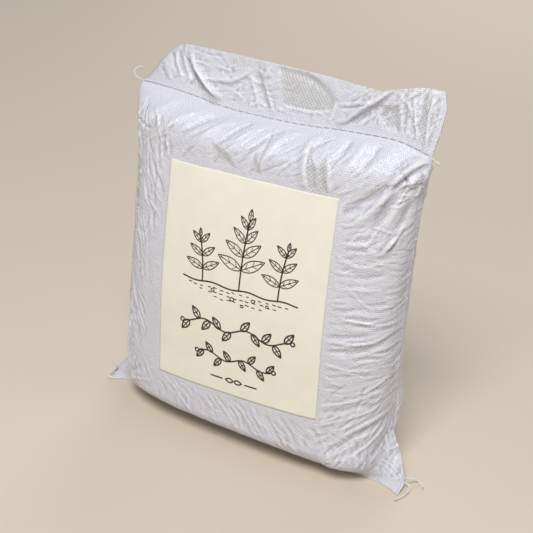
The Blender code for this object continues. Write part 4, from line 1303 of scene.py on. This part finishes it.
    def shade_and_grey_places(self, body: np.ndarray) -> np.ndarray:
        """Returns the bare mask, from 0 to 1: the strokes of painted shade, the greyed dent facets and the grey patch
        on the collar.
        """
        last = self.columns + 1
        greying = np.zeros(body.shape[:2])
        for patch in PAINTED_SHADE_BODY:
            greying[:, :last] += patch.relief(body[:, :last, 0], body[:, :last, 2])
        for dent in DENTS:
            greying[:, :last] += dent.bare(body[:, :last, 0], body[:, :last, 2])
        form = self.form
        x_share = np.linspace(-1, 1, last)
        rises = np.linspace(form.neck_height / form.collar_height, 1, self.collar_rows)
        rows = []
        for rise_share in (*rises, *rises[:-self.pocket_rows - 1:-1]):
            x, rise = form.collar_place(x_share, rise_share)
            value = sum(patch.relief(x, rise) for patch in SHADE_AND_GREY_COLLAR)
            value += sum(dent.bare(x, rise) for dent in COLLAR_DENTS)
            rows.append(np.concatenate([value, value[-2:0:-1]]))
        return np.clip(np.concatenate([greying, np.array(rows)]), 0, 1)

    def lay_cloth(self, piece: bpy.types.Object, rings: np.ndarray) -> None:
        """Gives the mesh its place on the flat cloth, in metres, as a UV map."""
        ring = 2 * self.columns
        across = self.tube_width / self.columns
        steps = np.linalg.norm(np.diff(rings, axis=0), axis=-1).mean(axis=1)
        up = np.concatenate([[0], np.cumsum(steps)])
        mesh = piece.data
        corners = np.zeros(len(mesh.loops), dtype=np.int32)
        mesh.loops.foreach_get("vertex_index", corners)
        u = (corners % ring) * across
        v = up[corners // ring]
        starts = np.zeros(len(mesh.polygons), dtype=np.int32)
        sizes = np.zeros(len(mesh.polygons), dtype=np.int32)
        mesh.polygons.foreach_get("loop_start", starts)
        mesh.polygons.foreach_get("loop_total", sizes)
        face_of = np.repeat(np.arange(len(starts)), sizes)
        widest = np.zeros(len(starts))
        np.maximum.at(widest, face_of, u)
        wrapped = (u == 0) & (widest[face_of] > 1.5 * across * self.columns)
        u = np.where(wrapped, ring * across, u)
        layer = mesh.uv_layers.new(name="cloth")
        layer.data.foreach_set("uv", np.stack([u, v], axis=-1).astype(np.float32).ravel())


@dataclass(frozen=True)
class Stroke:
    """A printed line in millimetres from the label's centre."""

    points: tuple[tuple[float, float], ...]
    width: float


@dataclass
class LabelArt:
    """The label's print: three seedlings in hatched soil above two garlands, in millimetres."""

    bold: float = 1.7
    thin: float = 1.15
    strokes: list[Stroke] = field(default_factory=list)

    def line(self, points: Points, width: float) -> None:
        """Adds a stroke."""
        self.strokes.append(Stroke(tuple(map(tuple, points)), width))

    def leaf(self, base: Sequence[float], tip: Sequence[float], plump: float, width: float, veins: int = 0) -> None:
        """Adds a pointed leaf.

        Args:
            base: where the leaf joins its stem.
            tip: its point.
            plump: its half breadth as a share of its length.
            width: the line's width.
            veins: the number of pairs of veins, with a midrib if there are any.
        """
        base, tip = np.array(base, dtype=float), np.array(tip, dtype=float)
        axis = tip - base
        side = np.array([-axis[1], axis[0]])
        share = np.linspace(0, 1, 15)
        breadth = plump * np.sin(math.pi * share ** 0.82) ** 0.9
        for hand in (1, -1):
            self.line(base + share[:, None] * axis + hand * breadth[:, None] * side, width)
        if veins:
            self.line([base, base + 0.86 * axis], 0.8 * width)
        for k in range(veins):
            root = 0.18 + 0.6 * k / max(veins - 1, 1) if veins > 1 else 0.4
            for hand in (1, -1):
                out = plump * math.sin(math.pi * (root + 0.14) ** 0.82) ** 0.9 * 0.72
                self.line([base + root * axis, base + (root + 0.14) * axis + hand * out * side], 0.6 * width)

    def seedling(self, x: float, ground: float, height: float, lean: float, pairs: int, size: float) -> None:
        """Adds a young plant: a bent stem, pairs of leaves that grow smaller upwards and a bud.

        Args:
            x: where it stands.
            ground: the soil's height there.
            height: the plant's height.
            lean: how far its top stands aside.
            pairs: the number of pairs of leaves.
            size: the length of the lowest leaves.
        """
        share = np.linspace(0, 1, 12)
        stem = np.stack([x + lean * share ** 2, ground + height * share], axis=-1)
        self.line(stem, self.bold)
        for k in range(pairs):
            t = 0.3 + 0.58 * k / max(pairs - 1, 1)
            base = (x + lean * t ** 2, ground + height * t)
            length = size * (1 - 0.16 * k)
            for hand in (1, -1):
                angle = math.radians(24 + 11 * k + (5 if hand > 0 else -4))
                tip = (base[0] + hand * length * math.cos(angle), base[1] + length * math.sin(angle))
                self.leaf(base, tip, 0.19, self.thin, 3 if length > 13 else 2)
        top = (x + lean, ground + height)
        self.leaf(top, (top[0] + 0.15 * lean, top[1] + 0.42 * size), 0.2, self.thin, 1)

    def soil(self, half: float, ground: float) -> None:
        """Adds the wavy soil line with hatching and pebbles below it."""
        x = np.linspace(-half, half, 40)
        self.line(np.stack([x, ground + 1.1 * np.sin(x / 6.5)], axis=-1), self.bold)
        rng = np.random.default_rng(5)
        for row in range(3):
            reach = half * (0.9 - 0.24 * row)
            for place in np.arange(-reach, reach, 7.5):
                start = place + rng.uniform(-1.5, 1.5)
                level = ground - 4.5 - 4.6 * row + rng.uniform(-0.8, 0.8)
                self.line([(start, level), (start + rng.uniform(2.4, 4.2), level - 0.2)], self.thin)
        for place, depth, size in ((-30, 6.6, 1.5), (-7, 10.8, 1.8), (17, 6.8, 1.6), (33, 8.6, 1.3), (5, 15.6, 1.3)):
            turn = np.linspace(0, 2 * math.pi, 13)
            pebble = np.stack([place + 1.3 * size * np.cos(turn), ground - depth + size * np.sin(turn)], axis=-1)
            self.line(pebble, self.thin)

    def garland(self, half: float, level: float, wave: float, leaves: int, size: float) -> None:
        """Adds a waved twig with leaves on both sides and a berry at each end."""
        x = np.linspace(-half, half, 70)
        turns = leaves / 4
        self.line(np.stack([x, level + wave * np.sin(math.pi * turns * x / half)], axis=-1), self.bold)
        for k in range(leaves):
            share = -1 + 2 * (k + 0.5) / leaves
            place = half * share
            height = level + wave * math.sin(math.pi * turns * share)
            hand = 1 if k % 2 else -1
            tip = (place + 0.62 * size * (1 if place >= 0 else -1), height + hand * 0.8 * size)
            self.leaf((place, height), tip, 0.24, self.bold, 1)
        for hand in (1, -1):
            turn = np.linspace(0, 2 * math.pi, 13)
            middle = hand * (half + 2.4)
            height = level + wave * math.sin(math.pi * turns * hand)
            self.line(np.stack([middle + 2.2 * np.cos(turn), height + 2.2 * np.sin(turn)], axis=-1), self.bold)

    def ornament(self, level: float) -> None:
        """Adds a pair of small leaves between two short rules."""
        for hand in (1, -1):
            self.leaf((hand * 0.8, level), (hand * 9.5, level), 0.26, self.bold)
            self.line([(hand * 13.5, level), (hand * 27.0, level)], self.bold)

    def draw(self) -> list[Stroke]:
        """Returns the strokes of the whole print."""
        ground = 2.0
        self.seedling(0, ground, 74, 5, 4, 29)
        self.seedling(-43, ground - 0.4, 46, -6, 3, 21)
        self.seedling(44, ground + 0.3, 53, 6, 3, 22)
        self.soil(66, ground)
        self.garland(62, -43, 4.0, 10, 14.5)
        self.garland(43, -77, 3.2, 8, 12.5)
        self.ornament(-101)
        return self.strokes


@dataclass
class Label:
    """The glued paper label with its print."""

    form: SackForm
    place: LabelPlace
    columns: int = 94
    rows: int = 118
    wave: float = 0.00012
    ink_thickness: float = 0.00005

    def surface(self, across: np.ndarray, up: np.ndarray, lift: np.ndarray) -> np.ndarray:
        """Returns points at a lift over the cloth under the label.

        Args:
            across: way from the label's centre to the right.
            up: way from its centre upwards.
            lift: height over the cloth.

        Returns:
            The points, with a faint wave of the paper added above the cloth.
        """
        step = 0.0005
        x, z = self.place.place(across, up)
        y = self.form.front_y(x, z)
        slope_x = (self.form.front_y(x + step, z) - self.form.front_y(x - step, z)) / (2 * step)
        slope_z = (self.form.front_y(x, z + step) - self.form.front_y(x, z - step)) / (2 * step)
        normal = np.stack([slope_x, -np.ones_like(x), slope_z], axis=-1)
        normal /= np.linalg.norm(normal, axis=-1, keepdims=True)
        noise = GradientNoise(51)
        swell = self.wave * (1 + noise(across / 0.034, up / 0.041)) * (lift > CONTACT_GAP + 1e-6)
        return np.stack([x, y, z], axis=-1) + normal * (lift + swell)[..., None]

    def build(self, material: bpy.types.Material) -> bpy.types.Object:
        """Makes the sheet of paper."""
        across = np.linspace(-0.5, 0.5, self.columns + 1) * self.place.width
        up = np.linspace(-0.5, 0.5, self.rows + 1) * self.place.height
        across, up = np.meshgrid(across, up)
        sheets = [self.surface(across, up, np.full_like(across, lift))
                  for lift in (CONTACT_GAP, CONTACT_GAP + self.place.thickness)]
        wide, count = self.columns + 1, (self.columns + 1) * (self.rows + 1)
        faces = []
        for r in range(self.rows):
            for c in range(self.columns):
                corners = (r * wide + c, r * wide + c + 1, (r + 1) * wide + c + 1, (r + 1) * wide + c)
                faces.append(corners[::-1])
                faces.append(tuple(count + k for k in corners))
        rim = [c for c in range(wide)]
        rim += [r * wide + self.columns for r in range(1, self.rows + 1)]
        rim += [self.rows * wide + c for c in range(self.columns - 1, -1, -1)]
        rim += [r * wide for r in range(self.rows - 1, 0, -1)]
        for a, b in zip(rim, rim[1:] + rim[:1]):
            faces.append((a, b, count + b, count + a))
        return add_piece("paper_label", np.concatenate([s.reshape(-1, 3) for s in sheets]), faces, material)

    def build_print(self, material: bpy.types.Material) -> bpy.types.Object:
        """Makes the ink lines, each a thin flat strip on the paper."""
        parts = [self.strip(stroke) for stroke in LabelArt().draw()]
        points, faces = join_parts(parts)
        return add_piece("label_print", points, faces, material)

    def strip(self, stroke: Stroke) -> tuple[np.ndarray, list]:
        """Makes one ink line.

        Args:
            stroke: its path and width in millimetres.

        Returns:
            The points and faces of a closed flat strip with rounded ends.
        """
        line = np.array(stroke.points) / 1000
        long = np.linalg.norm(np.diff(line, axis=0), axis=1).sum()
        line = smooth_route(line, 0.0012, least=2) if len(line) > 2 else np.linspace(
            line[0], line[-1], max(2, round(long / 0.002)) + 1)
        way = np.gradient(line, axis=0)
        way /= np.maximum(np.linalg.norm(way, axis=1, keepdims=True), 1e-9)
        side = np.stack([-way[:, 1], way[:, 0]], axis=-1)
        half = stroke.width / 2000
        line = np.concatenate([line[:1] - way[:1] * half * 0.8, line, line[-1:] + way[-1:] * half * 0.8])
        side = np.concatenate([side[:1], side, side[-1:]])
        halves = np.full(len(line), half)
        halves[[0, -1]] = 0.35 * half
        paper = CONTACT_GAP + self.place.thickness
        sections = []
        for hand, lift in ((-1, paper + 0.00001), (1, paper + 0.00001), (1, paper + self.ink_thickness),
                           (-1, paper + self.ink_thickness)):
            edge = line + hand * halves[:, None] * side
            sections.append(self.surface(edge[:, 0], edge[:, 1], np.full(len(edge), lift)))
        points = np.stack(sections, axis=1).reshape(-1, 3)
        faces = []
        for k in range(len(line) - 1):
            for i in range(4):
                j = (i + 1) % 4
                faces.append((4 * k + i, 4 * (k + 1) + i, 4 * (k + 1) + j, 4 * k + j))
        last = 4 * (len(line) - 1)
        faces.append((0, 1, 2, 3))
        faces.append((last + 3, last + 2, last + 1, last))
        return points, faces


@dataclass
class ClosingSeam:
    """The two threads that close the neck, laid as stitches along it."""

    form: SackForm
    stitch_length: float = 0.0085
    thread: float = 0.0009
    margin: float = 0.006
    rise: float = 0.0021

    def neck_path(self, facing: int, rise: float, off: float) -> np.ndarray:
        """Returns points along the neck's front (-1) or back (1) face."""
        form = self.form
        reach = form.half_width * form.seam_width_share
        x_share = np.linspace(-(reach - self.margin), reach - self.margin, 120) / reach
        share = rise / form.collar_height
        half = form.collar_half(x_share, share) + off
        return form.collar_point(x_share, share, facing * half)

    def tree(self, kind: StitchKind, material: bpy.types.Material) -> tuple[bpy.types.NodeTree, dict[str, str]]:
        """Builds the nodes that repeat one stitch along a path.

        Args:
            kind: which of the two threads.
            material: the thread's finish.

        Returns:
            The tree and the identifier of each of its named inputs.
        """
        tree = bpy.data.node_groups.new(f"stitch_row_{kind.name.lower()}", "GeometryNodeTree")
        sockets = {}
        tree.interface.new_socket("Geometry", in_out="INPUT", socket_type="NodeSocketGeometry")
        for label in ("Stitch Length", "Thread Diameter"):
            socket = tree.interface.new_socket(label, in_out="INPUT", socket_type="NodeSocketFloat")
            sockets[label] = socket.identifier
        outward = tree.interface.new_socket("Outward", in_out="INPUT", socket_type="NodeSocketVector")
        sockets["Outward"] = outward.identifier
        tree.interface.new_socket("Geometry", in_out="OUTPUT", socket_type="NodeSocketGeometry")
        maker = NodeMaker(tree)
        source, target = maker.add("NodeGroupInput"), maker.add("NodeGroupOutput")
        path = maker.add("GeometryNodeMeshToCurve")
        maker.link(source.outputs["Geometry"], path.inputs[0])
        even = maker.add("GeometryNodeResampleCurve", mode="LENGTH")
        maker.link(path.outputs[0], even.inputs["Curve"])
        maker.link(source.outputs["Stitch Length"], even.inputs["Length"])
        unit = self.stitch_unit(maker, source, kind)
        turn = maker.add("FunctionNodeAlignRotationToVector", axis="X")
        maker.link(maker.add("GeometryNodeInputTangent").outputs[0], turn.inputs["Vector"])
        roll = maker.add("FunctionNodeAlignRotationToVector", axis="Z", pivot_axis="X")
        maker.link(turn.outputs[0], roll.inputs["Rotation"])
        maker.link(source.outputs["Outward"], roll.inputs["Vector"])
        spread = maker.add("GeometryNodeInstanceOnPoints")
        maker.link(even.outputs[0], spread.inputs["Points"])
        maker.link(unit, spread.inputs["Instance"])
        maker.link(roll.outputs[0], spread.inputs["Rotation"])
        real = maker.add("GeometryNodeRealizeInstances")
        maker.link(spread.outputs[0], real.inputs[0])
        dress = maker.add("GeometryNodeSetMaterial")
        dress.inputs["Material"].default_value = material
        maker.link(real.outputs[0], dress.inputs["Geometry"])
        maker.link(dress.outputs[0], target.inputs[0])
        return tree, sockets

    def stitch_unit(self, maker: NodeMaker, source: bpy.types.Node, kind: StitchKind) -> bpy.types.NodeSocket:
        """Adds the nodes of one stitch, which lies along X with its outer side on Z."""
        length, thread = source.outputs["Stitch Length"], source.outputs["Thread Diameter"]
        round_section = maker.add("GeometryNodeCurvePrimitiveCircle")
        round_section.inputs["Resolution"].default_value = 8
        maker.link(maker.math("MULTIPLY", thread, 0.5), round_section.inputs["Radius"])
        if kind is StitchKind.NEEDLE:
            line = maker.add("GeometryNodeCurveQuadraticBezier")
            line.inputs["Resolution"].default_value = 10
            ends = ((-0.43, -0.75, "Start"), (0.0, 1.0, "Middle"), (0.43, -0.75, "End"))
            for along, high, name in ends:
                corner = maker.add("ShaderNodeCombineXYZ")
                maker.link(maker.math("MULTIPLY", length, along), corner.inputs["X"])
                maker.link(maker.math("MULTIPLY", thread, high), corner.inputs["Z"])
                maker.link(corner.outputs[0], line.inputs[name])
            shape = line.outputs[0]
        else:
            loop = maker.add("GeometryNodeCurvePrimitiveCircle")
            loop.inputs["Resolution"].default_value = 20
            maker.link(maker.math("MULTIPLY", length, 0.6), loop.inputs["Radius"])
            flat = maker.add("GeometryNodeTransform")
            flat.inputs["Scale"].default_value = (1.0, 0.26, 1.0)
            flat.inputs["Rotation"].default_value = (0.0, math.radians(5), 0.0)
            maker.link(loop.outputs[0], flat.inputs["Geometry"])
            shape = flat.outputs[0]
        body = maker.add("GeometryNodeCurveToMesh")
        body.inputs["Fill Caps"].default_value = True
        maker.link(shape, body.inputs["Curve"])
        maker.link(round_section.outputs[0], body.inputs["Profile Curve"])
        smooth = maker.add("GeometryNodeSetShadeSmooth")
        maker.link(body.outputs[0], smooth.inputs[0])
        return smooth.outputs[0]

    def build(self, kind: StitchKind, material: bpy.types.Material) -> bpy.types.Object:
        """Makes one thread's row of stitches as a plain mesh."""
        front = kind is StitchKind.NEEDLE
        facing = -1 if front else 1
        off = CONTACT_GAP + self.thread * (0.55 if front else 0.9)
        path = self.neck_path(facing, self.rise + (0.0 if front else 0.0008), off)
        guide = bpy.data.meshes.new("seam_guide")
        guide.from_pydata(path.tolist(), [(k, k + 1) for k in range(len(path) - 1)], [])
        carrier = bpy.data.objects.new("seam_guide", guide)
        bpy.context.scene.collection.objects.link(carrier)
        tree, sockets = self.tree(kind, material)
        modifier = carrier.modifiers.new("stitches", "NODES")
        modifier.node_group = tree
        lean = self.form.collar_lean
        modifier[sockets["Stitch Length"]] = self.stitch_length
        modifier[sockets["Thread Diameter"]] = self.thread
        modifier[sockets["Outward"]] = (0.0, facing * math.cos(lean), -facing * math.sin(lean))
        bpy.context.view_layer.update()
        made = carrier.evaluated_get(bpy.context.evaluated_depsgraph_get())
        mesh = bpy.data.meshes.new_from_object(made)
        mesh.name = f"seam_{kind.name.lower()}_stitches"
        bpy.data.objects.remove(carrier)
        piece = bpy.data.objects.new(mesh.name, mesh)
        bpy.context.scene.collection.objects.link(piece)
        return piece


@dataclass(frozen=True)
class ThreadTail:
    """A free thread end: a twisted thread with a frayed tip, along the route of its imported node."""

    name: str
    diameter: float
    route: tuple[tuple[float, float, float], ...]
    strands: int = 3
    fray: float = 0.12

    @property
    def line(self) -> np.ndarray:
        """The centre line of the thread."""
        return smooth_route(self.route, self.diameter / 3)

    def build(self, material: bpy.types.Material) -> bpy.types.Object:
        """Makes the twisted strands, which part from each other at the tip."""
        line = self.line
        step = np.linalg.norm(np.diff(line, axis=0), axis=1)
        way = np.concatenate([[0], np.cumsum(step)])
        share = way / way[-1]
        tangent = np.gradient(line, axis=0)
        tangent /= np.linalg.norm(tangent, axis=1, keepdims=True)
        normal = np.zeros_like(line)
        current = np.cross(tangent[0], (0.0, 0.0, 1.0))
        for k, along in enumerate(tangent):
            current = current - along * current.dot(along)
            current /= np.linalg.norm(current)
            normal[k] = current
        side = np.cross(tangent, normal)
        loose = smooth_step((share - 1 + self.fray) / self.fray)
        parts = []
        for k in range(self.strands):
            angle = 2 * math.pi * (way / (3.6 * self.diameter) + k / self.strands)
            out = self.diameter / 2 * (0.5 + 0.55 * loose)
            place = line + (out * np.cos(angle))[:, None] * normal + (out * np.sin(angle))[:, None] * side
            radius = self.diameter / 2 * (0.5 - 0.22 * loose)
            place[:, 2] = np.maximum(place[:, 2], radius + 0.0001)
            parts.append(lathe_ring(place, radius, 7))
        points, faces = join_parts(parts)
        return add_piece(f"{self.name}_twist", points, faces, material)

    def declare(self, piece: bpy.types.Object, far_end: str, with_pieces: Sequence[bpy.types.Object] = ()) -> None:
        """Reads the thread's centre line and does nothing more."""
        line = self.line


TAILS = (
    ThreadTail("thread_tail_top_left", 0.0012, (
        (-0.1614, 0.0, 0.3612), (-0.165, -0.001, 0.3618), (-0.1683, -0.002, 0.3645),
        (-0.1702, -0.001, 0.3685), (-0.169, 0.002, 0.3712), (-0.1665, 0.006, 0.3716),
        (-0.1645, 0.01, 0.3698), (-0.164, 0.013, 0.3665),
    )),
    ThreadTail("thread_tail_top_right", 0.0012, (
        (0.1612, -0.0006, 0.3561), (0.1645, -0.002, 0.3556), (0.1675, -0.0025, 0.3532),
        (0.1685, 0.0005, 0.3508), (0.167, 0.005, 0.35), (0.164, 0.01, 0.35),
        (0.16, 0.014, 0.349), (0.156, 0.017, 0.347),
    )),
    ThreadTail("thread_loop_bottom_left", 0.0022, (
        (-0.1712, -0.0049, 0.0014), (-0.177, -0.0093, 0.0013), (-0.1838, -0.0116, 0.0013),
        (-0.1868, -0.0082, 0.003), (-0.1838, -0.0064, 0.0075), (-0.1803, -0.0049, 0.0115),
        (-0.1785, -0.0055, 0.015), (-0.1805, -0.008, 0.019), (-0.183, -0.0095, 0.0235),
    )),
    ThreadTail("thread_tail_bottom_right_upper", 0.0022, (
        (0.1829, -0.0106, 0.0108), (0.1873, -0.0042, 0.008), (0.1908, 0.0022, 0.0055),
        (0.194, 0.0055, 0.0028), (0.198, 0.005, 0.0014), (0.2015, 0.002, 0.0013),
        (0.203, -0.002, 0.0013),
    )),
    ThreadTail("thread_tail_bottom_right_lower", 0.0022, (
        (0.1833, -0.013, 0.0081), (0.1888, -0.0088, 0.0052), (0.1925, -0.0125, 0.0026),
        (0.1918, -0.021, 0.0013), (0.1893, -0.03, 0.0013), (0.1865, -0.038, 0.0013),
    )),
)


@dataclass(frozen=True)
class PhotoCamera:
    """The camera at the photograph's viewing angle, for a square picture."""

    azimuth: float = math.radians(26.93)
    elevation: float = math.radians(26.06)
    roll: float = math.radians(4.85)
    focal_pixels: float = 1250.78
    picture_pixels: float = 533.0
    sensor: float = 36.0
    aim_height: float = 0.2
    shift_right: float = -0.0005
    shift_up: float = -0.0044
    distance: float = 1.2891

    def build(self) -> bpy.types.Object:
        """Makes the camera and gives it to the scene."""
        az, el = self.azimuth, self.elevation
        back = Vector((math.sin(az) * math.cos(el), -math.cos(az) * math.cos(el), math.sin(el)))
        level = Vector((math.cos(az), math.sin(az), 0.0))
        upright = back.cross(level)
        right = math.cos(self.roll) * level + math.sin(self.roll) * upright
        up = math.cos(self.roll) * upright - math.sin(self.roll) * level
        aim = Vector((0.0, 0.0, self.aim_height)) + self.shift_right * right + self.shift_up * up
        data = bpy.data.cameras.new("photo_camera")
        data.sensor_width = self.sensor
        data.lens = self.focal_pixels * self.sensor / self.picture_pixels
        data.clip_start, data.clip_end = 0.05, 50.0
        camera = bpy.data.objects.new("photo_camera", data)
        bpy.context.scene.collection.objects.link(camera)
        turn = Matrix((right, up, back)).transposed().to_4x4()
        camera.matrix_world = Matrix.Translation(aim + self.distance * back) @ turn
        bpy.context.scene.camera = camera
        return camera


@dataclass(frozen=True)
class SoftLamp:
    """A square soft lamp that faces the sack.

    Azimuth is in degrees from the front towards the right, elevation in degrees above the floor, distance and the
    lamp's side in metres, and power in watts.
    """

    name: str
    azimuth: float
    elevation: float
    distance: float
    side: float
    power: float
    aim_height: float = 0.2

    def build(self) -> None:
        """Makes the lamp."""
        az, el = math.radians(self.azimuth), math.radians(self.elevation)
        away = Vector((math.sin(az) * math.cos(el), -math.cos(az) * math.cos(el), math.sin(el)))
        data = bpy.data.lights.new(self.name, "AREA")
        data.shape = "SQUARE"
        data.size = self.side
        data.energy = self.power
        lamp = bpy.data.objects.new(self.name, data)
        bpy.context.scene.collection.objects.link(lamp)
        lamp.location = Vector((0.0, 0.0, self.aim_height)) + away * self.distance
        lamp.rotation_mode = "QUATERNION"
        lamp.rotation_quaternion = away.to_track_quat("Z", "Y")


@dataclass(frozen=True)
class Studio:
    """A plain pale floor, a soft lamp in front, weaker ones at the right and behind, and a pale world."""

    floor_size: float = 14.0
    floor_colour: tuple[float, float, float] = (0.72, 0.62, 0.51)
    world_colour: tuple[float, float, float] = (0.93, 0.96, 1.0)
    world_strength: float = 0.32
    lamps: tuple[SoftLamp, ...] = (
        SoftLamp("key_lamp", 14.0, 54.0, 2.4, 0.9, 41.5),
        SoftLamp("fill_lamp", 95.0, 28.0, 2.6, 1.6, 3.0),
        SoftLamp("back_lamp", 190.0, 30.0, 3.0, 1.6, 24.0),
    )

    def build(self) -> None:
        """Makes the floor, the lamps and the world."""
        self.make_floor()
        for lamp in self.lamps:
            lamp.build()
        world = bpy.data.worlds.new("pale_world")
        world.use_nodes = True
        backdrop = world.node_tree.nodes["Background"]
        backdrop.inputs["Color"].default_value = (*self.world_colour, 1.0)
        backdrop.inputs["Strength"].default_value = self.world_strength
        scene = bpy.context.scene
        scene.world = world
        scene.view_settings.view_transform = "Standard"

    def make_floor(self) -> None:
        """Makes the floor, with a faint mottle."""
        half = self.floor_size / 2
        corners = np.array([(-half, -half, 0.0), (half, -half, 0.0), (half, half, 0.0), (-half, half, 0.0)])
        material, maker, shader = new_material("plain_floor")
        place = maker.add("ShaderNodeTexCoord").outputs["Object"]
        mottle = maker.ramp(maker.noise(place, 3.0, 2.0), 0.3, 0.7, 0.0, 0.06)
        darker = tuple(0.9 * part for part in self.floor_colour)
        colour = maker.blend(mottle, (*self.floor_colour, 1), (*darker, 1))
        maker.link(colour, shader.inputs["Base Color"])
        shader.inputs["Roughness"].default_value = 0.85
        shader.inputs["Specular IOR Level"].default_value = 0.2
        add_piece("studio_floor", corners, [(0, 1, 2, 3)], material)


def main() -> None:
    """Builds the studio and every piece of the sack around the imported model."""
    logging.basicConfig(level=logging.INFO, format="%(name)s: %(message)s")
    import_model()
    PhotoCamera().build()
    Studio().build()
    patterns = SharedPatterns()
    thread = SewingThread().build(patterns)
    for tail in TAILS:
        piece = hand_over(tail.build(thread), Slot.THREAD, tail.name)
        tail.declare(piece, "bare")
    form, place = SackForm(), LabelPlace()
    cloth = hand_over(Sack(form, place).build(WovenFilm().build(patterns)), Slot.CLOTH, "sack")
    label = Label(form, place)
    hand_over(label.build(LabelPaper().build(patterns)), Slot.PAPER, "front_label")
    hand_over(label.build_print(PrintInk().build(patterns)), Slot.PAPER)
    seam = ClosingSeam(form)
    hand_over(seam.build(StitchKind.NEEDLE, thread), Slot.THREAD, "seam_needle_thread")
    hand_over(seam.build(StitchKind.LOOPER, thread), Slot.THREAD, "seam_looper_chain")


if __name__ == "__main__":
    main()
